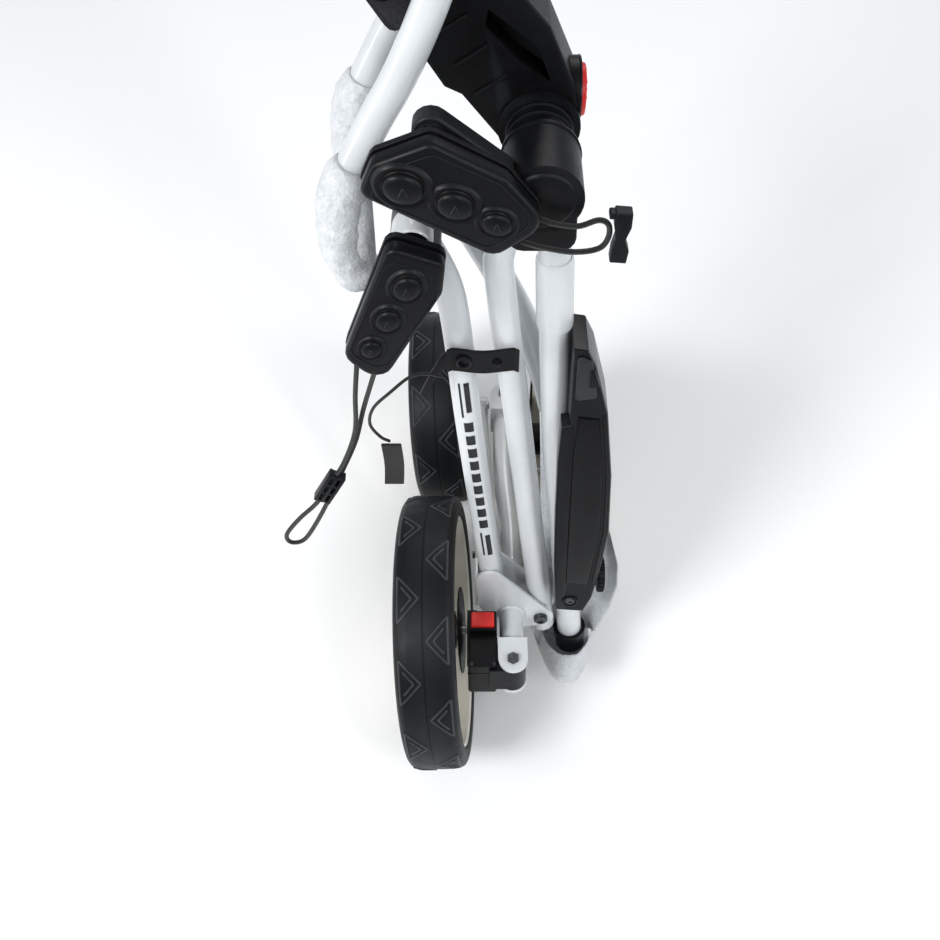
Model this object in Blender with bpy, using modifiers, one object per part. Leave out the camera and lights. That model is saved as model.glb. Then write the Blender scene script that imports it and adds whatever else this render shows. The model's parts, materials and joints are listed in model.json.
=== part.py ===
"""Folded electric golf trolley: a three-wheeler stood on its wheels with its frame folded flat.

Lengths below are in centimetres and are scaled to metres when a mesh is made (CM).
+X runs across the folded package from the drive wheel on the left to the battery on the right,
+Y runs from its front to its back, +Z is up.  The folded frame leans back by LEAN, so
everything that belongs to it is laid out in a leaning frame (x, y', z') whose origin
is level with the hub of the left wheel.
"""
import math

import bmesh
import bpy
from mathutils import Matrix, Vector

CM = 0.01
GAP = 0.03              # running and touching clearance, 0.3 mm

# ---- driving dimensions (cm)
SHIFT_X = -2.245        # puts the origin under the middle of the object's box
SHIFT_Y = -13.30
LEAN = math.atan(0.22)  # backward lean of the folded frame
BASE_Y, BASE_Z = 1.5, 14.5

REAR_R = 14.5           # 29 cm rear wheels
REAR_W = 6.0
FRONT_R = 11.5          # 23 cm front wheel
CAMBER = math.radians(-4.5)   # lean of the two left wheels, tops outward
LEFT_WHEEL = (-3.5, 0.0, 14.61)
RIGHT_WHEEL = (10.3, 19.35, REAR_R)
FRONT_WHEEL = (-3.2, 29.6, 11.62)

TUBE_R = 1.2            # 24 mm frame tubes
LEG_R = 1.25
LEG_Z = 3.2             # height of both wheel legs in the leaning frame
LEG_X = 4.3             # where both legs start
PIN_LEFT = (4.3, -8.4)  # x, y' of the wheel-folding pins
PIN_RIGHT = (4.0, 28.5)
FOLD_BOLT = (7.4, 2.6)  # x, z' of the main fold's bolt
HINGE = (4.9, 59.6)     # x, z' of the upper hinge's axis
ARM_HINGE = (3.6, 6.5)  # y', z' of the front arm's hinge

SHIFT = Vector((SHIFT_X, SHIFT_Y, 0.0))
LEANING = (Matrix.Translation((SHIFT + Vector((0, BASE_Y, BASE_Z))) * CM)
           @ Matrix.Rotation(-LEAN, 4, "X"))
UPRIGHT = Matrix.Translation(SHIFT * CM)


def hub_frame(hub, camber):
    """A frame at a wheel's hub, its X along the axle."""
    return Matrix.Translation((SHIFT + Vector(hub)) * CM) @ Matrix.Rotation(camber, 4, "Y")


# ---- scene and materials
for ob in list(bpy.data.objects):
    bpy.data.objects.remove(ob, do_unlink=True)
PARTS = bpy.data.collections.new("electric_golf_trolley")
CUTTERS = bpy.data.collections.new("cutters")
for c in (PARTS, CUTTERS):
    bpy.context.scene.collection.children.link(c)

COLOURS = {
    "white_paint": ((0.86, 0.88, 0.88), 0.35, 0.0),
    "black_plastic": ((0.022, 0.024, 0.027), 0.5, 0.0),
    "gloss_black": ((0.012, 0.013, 0.015), 0.22, 0.0),
    "tyre_rubber": ((0.035, 0.038, 0.042), 0.6, 0.0),
    "pad_rubber": ((0.016, 0.017, 0.019), 0.55, 0.0),
    "rim_cream": ((0.80, 0.77, 0.70), 0.45, 0.0),
    "red_plastic": ((0.75, 0.03, 0.03), 0.35, 0.0),
    "steel": ((0.55, 0.56, 0.58), 0.3, 1.0),
    "foam": ((0.80, 0.82, 0.83), 0.7, 0.0),
    "elastic": ((0.02, 0.021, 0.024), 0.75, 0.0),
    "webbing": ((0.018, 0.018, 0.02), 0.85, 0.0),
    "copper_motor": ((0.35, 0.36, 0.38), 0.4, 1.0),
    "battery": ((0.06, 0.09, 0.16), 0.5, 0.0),
}


def material(slot, node):
    colour, rough, metal = COLOURS[slot]
    m = bpy.data.materials.new(node + "_" + slot)
    m.use_nodes = True
    bsdf = m.node_tree.nodes["Principled BSDF"]
    bsdf.inputs["Base Color"].default_value = (*colour, 1.0)
    bsdf.inputs["Roughness"].default_value = rough
    bsdf.inputs["Metallic"].default_value = metal
    return m


# ---- joints: one empty on each axis, carrying what turns or slides there
EMPTIES = {}


def joint_empty(name, where, frame=LEANING):
    e = bpy.data.objects.new(name, None)
    e.empty_display_size = 0.03
    PARTS.objects.link(e)
    e.matrix_world = frame @ Matrix.Translation(Vector(where) * CM)
    EMPTIES[name] = e
    return e


def finish(ob, slot, frame=LEANING, on=None, smooth=None):
    """Names the material, places the object in its frame and parents it to its joint."""
    ob.data.materials.clear()
    ob.data.materials.append(material(slot, ob.name))
    ob.matrix_world = frame
    if on:
        e = EMPTIES[on]
        ob.parent = e
        ob.matrix_parent_inverse = e.matrix_world.inverted()
    if smooth:
        ob.data.shade_smooth()
        ob.data.set_sharp_from_angle(angle=math.radians(smooth))
    return ob


def new_object(name, bm, where=PARTS):
    me = bpy.data.meshes.new(name)
    bmesh.ops.recalc_face_normals(bm, faces=bm.faces)
    bm.to_mesh(me)
    bm.free()
    ob = bpy.data.objects.new(name, me)
    where.objects.link(ob)
    return ob


def box_bm(lo, hi, bevel=0.0, segments=2):
    bm = bmesh.new()
    bmesh.ops.create_cube(bm, size=1.0)
    lo, hi = Vector(lo), Vector(hi)
    for v in bm.verts:
        v.co = Vector([(lo[i] + hi[i]) / 2 + v.co[i] * (hi[i] - lo[i]) for i in range(3)]) * CM
    if bevel:
        bmesh.ops.bevel(bm, geom=bm.edges[:], offset=bevel * CM, segments=segments, profile=0.5, affect="EDGES")
    return bm


def axis_matrix(axis):
    """Carries +Z onto a direction."""
    return Vector((0, 0, 1)).rotation_difference(Vector(axis).normalized()).to_matrix().to_4x4()


def cylinder_bm(a, b, r, r2=None, sides=24, turn=0.0):
    a, b = Vector(a), Vector(b)
    bm = bmesh.new()
    bmesh.ops.create_cone(bm, cap_ends=True, segments=sides, radius1=r * CM,
                          radius2=(r if r2 is None else r2) * CM, depth=(b - a).length * CM)
    m = Matrix.Translation((a + b) / 2 * CM) @ axis_matrix(b - a) @ Matrix.Rotation(turn, 4, "Z")
    bmesh.ops.transform(bm, matrix=m, verts=bm.verts)
    return bm


def prism_bm(outline, lo, hi, axis="y", bevel=0.0):
    """An outline in the plane across an axis, drawn out from lo to hi along it.
    y: the outline is (x, z).  z: it is (x, y).  x: it is (y, z)."""
    bm = bmesh.new()

    def at(p, t):
        return {"y": (p[0], t, p[1]), "z": (p[0], p[1], t), "x": (t, p[0], p[1])}[axis]

    bottom = [bm.verts.new(Vector(at(p, lo)) * CM) for p in outline]
    face = bm.faces.new(bottom)
    bmesh.ops.recalc_face_normals(bm, faces=[face])
    out = bmesh.ops.extrude_face_region(bm, geom=[face])
    step = Vector(at((0, 0), hi - lo)) * CM
    bmesh.ops.translate(bm, vec=step, verts=[v for v in out["geom"] if isinstance(v, bmesh.types.BMVert)])
    bmesh.ops.recalc_face_normals(bm, faces=bm.faces)
    if bevel:
        ax = {"x": 0, "y": 1, "z": 2}[axis]
        rims = [e for e in bm.edges
                if abs(e.verts[0].co[ax] - e.verts[1].co[ax]) < 1e-7]
        bmesh.ops.bevel(bm, geom=rims, offset=bevel * CM, segments=2, profile=0.5, affect="EDGES")
    return bm


def hull_of_circles(circles, steps=10):
    """The outline of the tight band round some circles (x, z, r), anticlockwise."""
    pts = []
    for cx, cy, r in circles:
        for i in range(steps * 2):
            t = 2 * math.pi * i / (steps * 2)
            pts.append((cx + r * math.cos(t), cy + r * math.sin(t)))
    pts = sorted(set(pts))

    def half(seq):
        out = []
        for p in seq:
            while len(out) > 1 and ((out[-1][0] - out[-2][0]) * (p[1] - out[-2][1])
                                    - (out[-1][1] - out[-2][1]) * (p[0] - out[-2][0])) <= 1e-9:
                out.pop()
            out.append(p)
        return out[:-1]

    return half(pts) + half(reversed(pts))


def boolean(ob, bm, op, name):
    """Applies a Boolean with a mesh built in the same frame, and keeps the result as a plain mesh."""
    cutter = new_object(name + "_tool", bm, CUTTERS)
    cutter.hide_render = True
    cutter.display_type = "WIRE"
    mod = ob.modifiers.new(name, "BOOLEAN")
    mod.operation = op
    mod.solver = "EXACT"
    mod.object = cutter
    dg = bpy.context.evaluated_depsgraph_get()
    me = bpy.data.meshes.new_from_object(ob.evaluated_get(dg))
    ob.modifiers.clear()
    old = ob.data
    ob.data = me
    bpy.data.meshes.remove(old)
    bpy.data.objects.remove(cutter, do_unlink=True)
    bm2 = bmesh.new()
    bm2.from_mesh(me)
    bmesh.ops.remove_doubles(bm2, verts=bm2.verts, dist=1e-6)
    bmesh.ops.dissolve_degenerate(bm2, dist=1e-6, edges=bm2.edges)
    bm2.to_mesh(me)
    bm2.free()


def keep_largest(ob):
    """Drops the crumbs a cut leaves beside the main body."""
    bm = bmesh.new()
    bm.from_mesh(ob.data)
    left = set(bm.verts)
    islands = []
    while left:
        stack = [left.pop()]
        seen = set(stack)
        while stack:
            for e in stack.pop().link_edges:
                for v in e.verts:
                    if v not in seen:
                        seen.add(v)
                        stack.append(v)
        left -= seen
        islands.append(seen)
    islands.sort(key=len)
    for isl in islands[:-1]:
        bmesh.ops.delete(bm, geom=list(isl), context="VERTS")
    bm.to_mesh(ob.data)
    bm.free()


def swept_bm(pts, r, sides=24):
    """A closed round bar along a route of points lying near one plane, its rings mitred at each point."""
    bm = bmesh.new()
    rings = []
    for i, p in enumerate(pts):
        t = (pts[min(i + 1, len(pts) - 1)] - pts[max(i - 1, 0)]).normalized()
        m = Matrix.Translation(p * CM) @ axis_matrix(t)
        rings.append([bm.verts.new(m @ Vector((r * CM * math.cos(2 * math.pi * k / sides),
                                               r * CM * math.sin(2 * math.pi * k / sides), 0))) for k in range(sides)])
    for a, b in zip(rings, rings[1:]):
        for k in range(sides):
            bm.faces.new((a[k], a[(k + 1) % sides], b[(k + 1) % sides], b[k]))
    bm.faces.new(rings[0][::-1])
    bm.faces.new(rings[-1])
    return bm


def smooth_path(points, per=6):
    """Points along a smooth curve (Catmull-Rom) through the route's own points."""
    pts = [Vector(p) for p in points]
    ext = [pts[0] * 2 - pts[1]] + pts + [pts[-1] * 2 - pts[-2]]
    out = []
    for i in range(1, len(ext) - 2):
        p0, p1, p2, p3 = ext[i - 1:i + 3]
        for k in range(per):
            t = k / per
            out.append(0.5 * ((2 * p1) + (p2 - p0) * t + (2 * p0 - 5 * p1 + 4 * p2 - p3) * t * t
                              + (3 * p1 - p0 - 3 * p2 + p3) * t ** 3))
    out.append(pts[-1])
    return out


def tube(name, points, r, slot, on=None, wall=0.0, sides=3, frame=LEANING, path=True, per=5):
    """A round tube along a smooth route; with a wall it is hollow and open at both ends."""
    pts = smooth_path(points, per) if path else [Vector(p) for p in points]
    cu = bpy.data.curves.new(name, "CURVE")
    cu.dimensions = "3D"
    cu.bevel_depth = r * CM
    cu.bevel_resolution = sides
    cu.use_fill_caps = not wall
    cu.render_resolution_u = 0
    sp = cu.splines.new("POLY")
    sp.points.add(len(pts) - 1)
    for p, q in zip(sp.points, pts):
        p.co = (*(q * CM), 1.0)
    tmp = bpy.data.objects.new(name + "_route", cu)
    PARTS.objects.link(tmp)
    dg = bpy.context.evaluated_depsgraph_get()
    me = bpy.data.meshes.new_from_object(tmp.evaluated_get(dg))
    bpy.data.objects.remove(tmp, do_unlink=True)
    bpy.data.curves.remove(cu)
    bm = bmesh.new()
    bm.from_mesh(me)
    bpy.data.meshes.remove(me)
    bmesh.ops.remove_doubles(bm, verts=bm.verts, dist=1e-5)
    if wall:
        bmesh.ops.recalc_face_normals(bm, faces=bm.faces)
        mid = pts[len(pts) // 2] * CM
        near = min(bm.faces, key=lambda f: (f.calc_center_median() - mid).length)
        if near.normal.dot(near.calc_center_median() - mid) < 0:
            bmesh.ops.reverse_faces(bm, faces=bm.faces)
    ob = new_object_raw(name, bm) if wall else new_object(name, bm)
    if wall:
        s = ob.modifiers.new("wall", "SOLIDIFY")
        s.thickness = wall * CM
        s.offset = -1.0
        s.use_even_offset = True
    return finish(ob, slot, frame, on, smooth=40)


def new_object_raw(name, bm):
    me = bpy.data.meshes.new(name)
    bm.to_mesh(me)
    bm.free()
    ob = bpy.data.objects.new(name, me)
    PARTS.objects.link(ob)
    return ob


def turned(name, profile, centre, slot, frame=UPRIGHT, on=None, steps=40, axis="x", angle=360.0, start=0.0):
    """A profile of (radius, station) points turned about the X axis (or the frame's own Y).
    The loop runs so that its outer side faces out."""
    bm = bmesh.new()
    ring = [bm.verts.new(Vector((s, r, 0)) * CM) for r, s in profile]
    for i in range(len(ring)):
        bm.edges.new((ring[i], ring[(i + 1) % len(ring)]))
    geom = bm.verts[:] + bm.edges[:]
    full = abs(angle - 360) < 1e-6
    if full:
        bmesh.ops.spin(bm, geom=geom, cent=(0, 0, 0), axis=(1, 0, 0), angle=math.radians(360), steps=steps,
                       use_merge=True)
        bmesh.ops.remove_doubles(bm, verts=bm.verts, dist=1e-6)
    else:
        first = bm.faces.new(ring)
        out = bmesh.ops.spin(bm, geom=[first] + geom, cent=(0, 0, 0), axis=(1, 0, 0), angle=math.radians(angle),
                             steps=steps)
        bm.faces.ensure_lookup_table()
    bmesh.ops.rotate(bm, cent=(0, 0, 0), matrix=Matrix.Rotation(math.radians(start), 3, "X"), verts=bm.verts)
    if axis == "y":
        bmesh.ops.rotate(bm, cent=(0, 0, 0), matrix=Matrix.Rotation(math.radians(90), 3, "Z"), verts=bm.verts)
    bmesh.ops.translate(bm, vec=Vector(centre) * CM, verts=bm.verts)
    bmesh.ops.recalc_face_normals(bm, faces=bm.faces)
    return finish(new_object(name, bm), slot, frame, on, smooth=35)


# ---- wheels -------------------------------------------------------------------------------------
def wheel(side, frame, radius, width, inward, on, dish, steps=40):
    """A foam tyre on a moulded rim. inward is +1 where the hub faces +X."""
    cx = cy = cz = 0.0
    w = width / 2
    tyre_in = radius - 2.2
    t = [(radius - 1.0, -w), (radius - 0.35, -w + 0.25), (radius, -w + 1.1), (radius, w - 1.1),
         (radius - 0.35, w - 0.25), (radius - 1.0, w), (tyre_in, w - 0.3), (tyre_in, -w + 0.3)]
    turned("tyre_" + side, t, (cx, cy, cz), "tyre_rubber", frame, on, steps)
    r0 = tyre_in - GAP
    a = inward
    # the rim: a barrel under the tyre, a dished web and a hub with its bore
    p = [(r0, -w + 0.4), (r0, w - 0.4), (r0 - 0.35, w - 0.4), (r0 - 0.6, w - 1.2), (r0 - 0.6, 0.6),
         (3.0, 0.5 + dish), (2.2, 0.6 + dish), (2.2, w - 1.0), (0.55, w - 1.0), (0.55, -w + 1.4), (2.2, -w + 1.4),
         (2.6, 0.0 + dish), (r0 - 0.6, 0.1), (r0 - 0.6, -w + 1.2), (r0 - 0.35, -w + 0.4)]
    p = [(r, s * a) for r, s in p]
    turned("rim_" + side, p, (cx, cy, cz), "rim_cream", frame, on, steps)


# ---- powered leg ends ---------------------------------------------------------------------------
def from_leaning(y, z):
    """World y, z (before SHIFT) of a wheel hub, in the leaning frame."""
    dy, dz = y - BASE_Y, z - BASE_Z
    c, s = math.cos(LEAN), math.sin(LEAN)
    return dy * c - dz * s, dy * s + dz * c


def lean_point(frame, x):
    """A point on a hub's axis, in the leaning frame (cm)."""
    return (LEANING.inverted() @ frame @ Vector((x * CM, 0, 0))) / CM


def drive(side, pin, hub, camber, flip, box, motor, plate, disc_r):
    """Clevis, pin and drive unit at the end of a wheel leg. flip is -1 for the left unit, whose
    wheel is on the -X side and whose leg runs to -y', and +1 for the right one, turned half round.
    Distances from the pin: box (a, b, c, d) spans a..b towards the wheel and c..d along the leg;
    motor (y, a, b, r) is the motor's bulge and plate (a, b) the flat gear case out to the hub."""
    f = flip
    px, py = pin
    frame = hub_frame(hub, camber)
    hy, hz = lean_point(frame, 0.0)[1:]
    mz = LEG_Z - 0.4

    def X(v):
        return px + f * v

    def Y(v):
        return py + f * v

    def span(a, b):
        return (min(a, b), max(a, b))

    body, spin, press = side + "_flip", side + "_spin", side + "_press"
    joint_empty(body, (px, py, LEG_Z))
    joint_empty(spin, (0, 0, 0), frame)

    # clevis: web on the leg's end, two rounded cheeks
    outline = [(-1.5, -2.6), (-1.5, 0.0)]
    outline += [(1.45 * math.cos(t), 1.45 * math.sin(t)) for t in
                [math.pi - math.pi * k / 12 for k in range(1, 12)]] + [(1.5, 0.0), (1.5, -2.6)]
    outline = [(X(a), Y(b)) for a, b in outline]
    z0, z1 = LEG_Z - 2.1, LEG_Z + 2.1
    ob = new_object("clevis_" + side, prism_bm(outline, z1 - 0.35, z1, "z"))
    boolean(ob, prism_bm(outline, z0, z0 + 0.35, "z"), "UNION", "lower")
    ya, yb = span(Y(-2.6), Y(-2.2))
    boolean(ob, box_bm((px - 1.5, ya, z0), (px + 1.5, yb, z1)), "UNION", "web")
    boolean(ob, cylinder_bm((px, py, z0 - 1), (px, py, z1 + 1), 0.42, sides=16), "DIFFERENCE", "bore")
    finish(ob, "white_paint", smooth=35)

    ob = new_object("clevis_pin_" + side, cylinder_bm((px, py, z0 - 0.5), (px, py, z1 + GAP), 0.37, sides=16))
    boolean(ob, cylinder_bm((px, py, z1 + GAP), (px, py, z1 + 0.4), 0.62, sides=6), "UNION", "head")
    finish(ob, "steel", smooth=35)

    # drive unit: a tongue round the pin, the drive box, a motor bulge and a flat gear case to the hub
    tz0, tz1 = z0 + 0.35 + GAP, z1 - 0.35 - GAP
    xa, xb = span(X(box[0]), X(box[1]))
    ya, yb = span(Y(box[2]), Y(box[3]))
    h = new_object("drive_case_" + side, box_bm((xa, ya, LEG_Z - 3.0), (xb, yb, LEG_Z + 2.2), 0.3))
    boolean(h, cylinder_bm((px, py, tz0), (px, py, tz1), 1.35, sides=24), "UNION", "tongue")
    xa, xb = span(X(0.0), X(box[0] + 0.8))
    boolean(h, box_bm((xa, py - 1.2, tz0), (xb, py + 1.2, tz1)), "UNION", "neck")
    my, ma, mb, mr = motor
    xa, xb = span(X(ma), X(mb))
    boolean(h, cylinder_bm((xa, Y(my), mz), (xb, Y(my), mz), mr, sides=24), "UNION", "motor")
    xa, xb = span(X(plate[0]), X(plate[1]))
    boolean(h, prism_bm(hull_of_circles([(Y(my), mz, mr), (hy, hz, 2.2)], 8), xa, xb, "x"), "UNION", "gears")
    boolean(h, cylinder_bm((px, py, z0 - 1), (px, py, z1 + 1), 0.43, sides=16), "DIFFERENCE", "bore")
    boolean(h, cylinder_bm(lean_point(frame, 12 * f * -1), lean_point(frame, 12 * f), 0.52, sides=16), "DIFFERENCE", "axle")
    bx, by = span(X(box[0] + 0.15), X(box[1] - 0.15)), span(Y(box[2] + 0.5), Y(box[2] + 2.3))
    boolean(h, box_bm((bx[0] - 0.1, by[0] - 0.25, LEG_Z + 1.9), (bx[1] + 0.1, by[1] + 0.25, LEG_Z + 3.0), 0.1), "UNION", "well")
    boolean(h, box_bm((bx[0] + 0.12, by[0], LEG_Z + 2.35), (bx[1] - 0.12, by[1], LEG_Z + 3.4)), "DIFFERENCE", "pocket")
    finish(h, "black_plastic", on=body, smooth=30)

    joint_empty(press, ((bx[0] + bx[1]) / 2, (by[0] + by[1]) / 2, LEG_Z + 3.35))
    b = new_object("release_button_" + side, box_bm((bx[0] + 0.12 + GAP, by[0] + GAP, LEG_Z + 2.75),
                                                   (bx[1] - 0.12 - GAP, by[1] - GAP, LEG_Z + 3.35), 0.16))
    finish(b, "red_plastic", on=press)

    # axle and dust disc, square to the wheel
    face = REAR_W / 2 * -f          # station of the wheel's inner face
    inner = face - f * (abs(X(plate[0]) - (hub[0] + face)) - 0.15)
    xs = span(inner, face + f * (REAR_W - 0.9))
    a = new_object("axle_" + side, cylinder_bm((xs[0], 0, 0), (xs[1], 0, 0), 0.47, sides=16))
    finish(a, "steel", frame, body, smooth=35)
    gap = abs(X(plate[1]) - (hub[0] + face))
    d0, d1 = span(face - f * (gap - 0.3 - (0.19 if camber else 0)), face - f * (gap - 0.5 - (0.19 if camber else 0)))
    d = new_object("dust_disc_" + side, cylinder_bm((d0, 0, 0), (d1, 0, 0), disc_r, sides=28))
    boolean(d, cylinder_bm((d0 - 1, 0, 0), (d1 + 1, 0, 0), 0.55, sides=16), "DIFFERENCE", "bore")
    finish(d, "black_plastic", frame, body, smooth=35)
    wheel(side, frame, REAR_R, REAR_W, -f, spin, dish=0.4)


drive("left", PIN_LEFT, LEFT_WHEEL, CAMBER, -1, (1.55, 4.5, -5.4, 0.9), (-2.9, 1.9, 4.6, 1.9), (3.55, 4.6), 4.6)
drive("right", PIN_RIGHT, RIGHT_WHEEL, 0.0, 1, (1.55, 2.75, -5.4, 1.0), (-5.2, 1.6, 5.4, 1.9), (1.75, 2.6), 3.9)

# ---- chassis: the fold bracket, both legs, the rear frame tube ------------------------------------
flange = hull_of_circles([(2.0, 9.0, 1.45), (7.4, 2.6, 1.35), (4.7, 2.7, 2.2), (2.4, 5.0, 1.5)])
FY = 1.28
ob = new_object("fold_bracket", prism_bm(flange, -FY - 0.32, -FY, "y"))
boolean(ob, prism_bm(flange, FY, FY + 0.32, "y"), "UNION", "back")
boolean(ob, box_bm((0.56, -FY - 0.2, 4.6), (0.80, FY + 0.2, 9.4)), "UNION", "web")
boolean(ob, cylinder_bm((FOLD_BOLT[0], -3, FOLD_BOLT[1]), (FOLD_BOLT[0], 3, FOLD_BOLT[1]), 0.45, sides=16),
        "DIFFERENCE", "bore")
# hinge lugs for the front arm
lug = hull_of_circles([(ARM_HINGE[0], ARM_HINGE[1], 1.1), (FY + 0.5, 7.6, 0.3), (FY + 0.5, 4.6, 0.3)])
for i, (a, b) in enumerate(((0.58, 0.85), (2.95, 3.22))):
    boolean(ob, prism_bm(lug, a, b, "x"), "UNION", "lug%d" % i)
boolean(ob, cylinder_bm((-1, *ARM_HINGE), (3.6, *ARM_HINGE), 0.42, sides=16), "DIFFERENCE", "lug_bore")
finish(ob, "white_paint", smooth=30)

tube("leg_left", [(LEG_X, PIN_LEFT[1] + 2.6 + GAP, LEG_Z), (LEG_X, -FY - 0.32 - GAP, LEG_Z)], LEG_R, "white_paint", path=False)
tube("leg_right", [(4.5, FY + 0.32 + GAP, LEG_Z), (4.5, 9.0, LEG_Z), (PIN_RIGHT[0], 17.0, LEG_Z),
                   (PIN_RIGHT[0], PIN_RIGHT[1] - 2.6 - GAP, LEG_Z)], LEG_R, "white_paint", wall=0.2, per=3)
tube("rear_frame_tube", [(2.25, 0, 7.6), (2.0, 0, 10.5), (0.0, 0, 30.0), (-1.0, 0, 41.5), (-1.7, 0, 46.5), (-3.0, 0, 50.0),
                         (-4.1, 0, 52.0)],
     TUBE_R, "white_paint", wall=0.2, per=3)
b = new_object("fold_bolt", cylinder_bm((FOLD_BOLT[0], -FY - 0.32 - GAP, FOLD_BOLT[1]), (FOLD_BOLT[0], FY + 0.45, FOLD_BOLT[1]),
                                       0.4, sides=16))
boolean(b, cylinder_bm((FOLD_BOLT[0], -FY - 0.75, FOLD_BOLT[1]), (FOLD_BOLT[0], -FY - 0.32 - GAP, FOLD_BOLT[1]), 0.72,
                       sides=16), "UNION", "head")
finish(b, "steel", smooth=35)
p = new_object("front_arm_pin", cylinder_bm((0.25, *ARM_HINGE), (3.4, *ARM_HINGE), 0.37, sides=16))
finish(p, "steel", smooth=35)

# rubber strap that holds the two frame tubes together: it lies over their front
strap = []
for k in range(15):
    t = k / 14
    x = -1.9 + 5.9 * t
    strap.append((x, -TUBE_R - 0.06 - 0.35 * math.sin(math.pi * min(1, t * 1.0)) ** 2 - (0.25 if k in (0, 14) else 0.0)))
outer = [(x, y - 0.28) for x, y in strap]
bm = prism_bm(strap + outer[::-1], 38.9, 41.3, "z")
finish(new_object("frame_strap", bm), "pad_rubber", smooth=30)

# ---- front arm ------------------------------------------------------------------------------------
F_FRAME = hub_frame(FRONT_WHEEL, CAMBER)
joint_empty("front_arm_lift", (1.9, *ARM_HINGE))
joint_empty("front_spin", (0, 0, 0), F_FRAME)
A0 = Vector((1.9, *ARM_HINGE))
A1 = lean_point(F_FRAME, 4.4)
d = (A1 - A0).normalized()
ob = new_object("front_arm", cylinder_bm(A0 + d * 0.6, A1 - d * 0.5, 0.85, sides=16))
boolean(ob, cylinder_bm((0.88, *ARM_HINGE), (2.92, *ARM_HINGE), 1.05, sides=20), "UNION", "knuckle")
boolean(ob, cylinder_bm(lean_point(F_FRAME, 3.4), lean_point(F_FRAME, 5.3), 1.15, sides=20), "UNION", "boss")
boolean(ob, cylinder_bm((0.2, *ARM_HINGE), (3.6, *ARM_HINGE), 0.42, sides=16), "DIFFERENCE", "bore")
boolean(ob, cylinder_bm(lean_point(F_FRAME, 2.0), lean_point(F_FRAME, 6.0), 0.52, sides=16), "DIFFERENCE", "axle_bore")
finish(ob, "white_paint", on="front_arm_lift", smooth=30)
a = new_object("axle_front", cylinder_bm((-2.3, 0, 0), (5.5, 0, 0), 0.47, sides=16))
finish(a, "steel", F_FRAME, "front_arm_lift", smooth=35)
wheel("front", F_FRAME, FRONT_R, REAR_W, 1, "front_spin", dish=0.4)

# ---- upright: the two long tubes, the lower half of the upper hinge, the battery case ------------
joint_empty("main_fold", (FOLD_BOLT[0], 0, FOLD_BOLT[1]))
HOUSE_Z = 54.6
bt = tube("upright_tube", [(7.85, 0, -0.6), (7.4, 0, 3.2), (3.9, 0, 33.8), (2.35, 0, 47.0), (2.25, 0, 50.0), (3.0, 0, 52.6),
                           (3.6, 0, HOUSE_Z - GAP)], TUBE_R, "white_paint", on="main_fold", wall=0.2, per=3)
m = bt.modifiers["wall"]
dg = bpy.context.evaluated_depsgraph_get()
me = bpy.data.meshes.new_from_object(bt.evaluated_get(dg))
bt.modifiers.clear()
bt.data = me
save = bt.matrix_world.copy()
cut = new_object("fold_bore_tool", cylinder_bm((FOLD_BOLT[0], -3, FOLD_BOLT[1]), (FOLD_BOLT[0], 3, FOLD_BOLT[1]), 0.46,
                                              sides=16), CUTTERS)
cut.matrix_world = LEANING
cut.hide_render = True
cut.display_type = "WIRE"
mod = bt.modifiers.new("fold_bore", "BOOLEAN")
mod.operation = "DIFFERENCE"
mod.solver = "EXACT"
mod.object = cut

C_ROUTE = [(6.2, 0.3, HOUSE_Z - GAP), (7.1, 0.3, 38.0), (7.9, 0.3, 27.0), (9.1, 0.3, 15.0), (10.2, 0.3, 4.0), (11.0, 0.3, -4.0)]
tube("battery_tube", C_ROUTE, 1.3, "white_paint", on="main_fold", wall=0.2, per=3)
end = Vector(C_ROUTE[-1])
dirn = (Vector(C_ROUTE[-1]) - Vector(C_ROUTE[-2])).normalized()
ft = new_object("tube_foot", cylinder_bm(end - dirn * 2.0, end + dirn * 0.9, 1.75, 1.6, sides=24))
boolean(ft, cylinder_bm(end - dirn * 4.0, end + dirn * GAP, 1.33, sides=24), "DIFFERENCE", "socket")
finish(ft, "pad_rubber", on="main_fold", smooth=35)

# cross link: runs behind both long tubes, from the rear tube's top joint down to the battery tube
LINK_Y = 3.1
tube("cross_link", [(-2.3, LINK_Y, 53.0), (-0.4, LINK_Y, 50.6), (2.2, LINK_Y, 45.5), (4.4, LINK_Y, 40.5), (6.3, LINK_Y, 34.4),
                    (7.3, LINK_Y, 30.0)], TUBE_R, "white_paint", on="main_fold", per=3)

# lower housing of the upper hinge: a barrel across the frame and a block that takes both tubes
hx, hz = HINGE
ob = new_object("hinge_lower_housing", cylinder_bm((hx, -6.4, hz), (hx, -0.6, hz), 2.75, sides=32))
block = hull_of_circles([(3.7, HOUSE_Z + 1.1, 1.1), (6.3, HOUSE_Z + 1.1, 1.1), (hx, hz - 1.0, 2.4)], 8)
boolean(ob, prism_bm(block, -5.6, 1.7, "y", 0.2), "UNION", "block")
boolean(ob, cylinder_bm((hx, -1.0, hz), (hx, 2.2, hz), 2.95, sides=32), "DIFFERENCE", "clear")
boolean(ob, cylinder_bm((hx, -2.0, hz), (hx, -0.5, hz), 1.0, sides=16), "DIFFERENCE", "spigot")
finish(ob, "black_plastic", on="main_fold", smooth=30)

# clamp arm that carries the upper bag pad
arm = hull_of_circles([(hx - 2.2, hz + 0.6, 1.2), (-2.5, 64.4, 1.25)], 8)
ob = new_object("upper_pad_arm", prism_bm(arm, -5.9, -4.4, "y", 0.15))
boolean(ob, cylinder_bm((hx, -6.7, hz), (hx, -3.0, hz), 2.75 + GAP, sides=32), "DIFFERENCE", "saddle")
boolean(ob, cylinder_bm((-2.5, -7, 64.4), (-2.5, -3, 64.4), 0.42, sides=16), "DIFFERENCE", "bore")
finish(ob, "black_plastic", on="main_fold", smooth=30)

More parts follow.
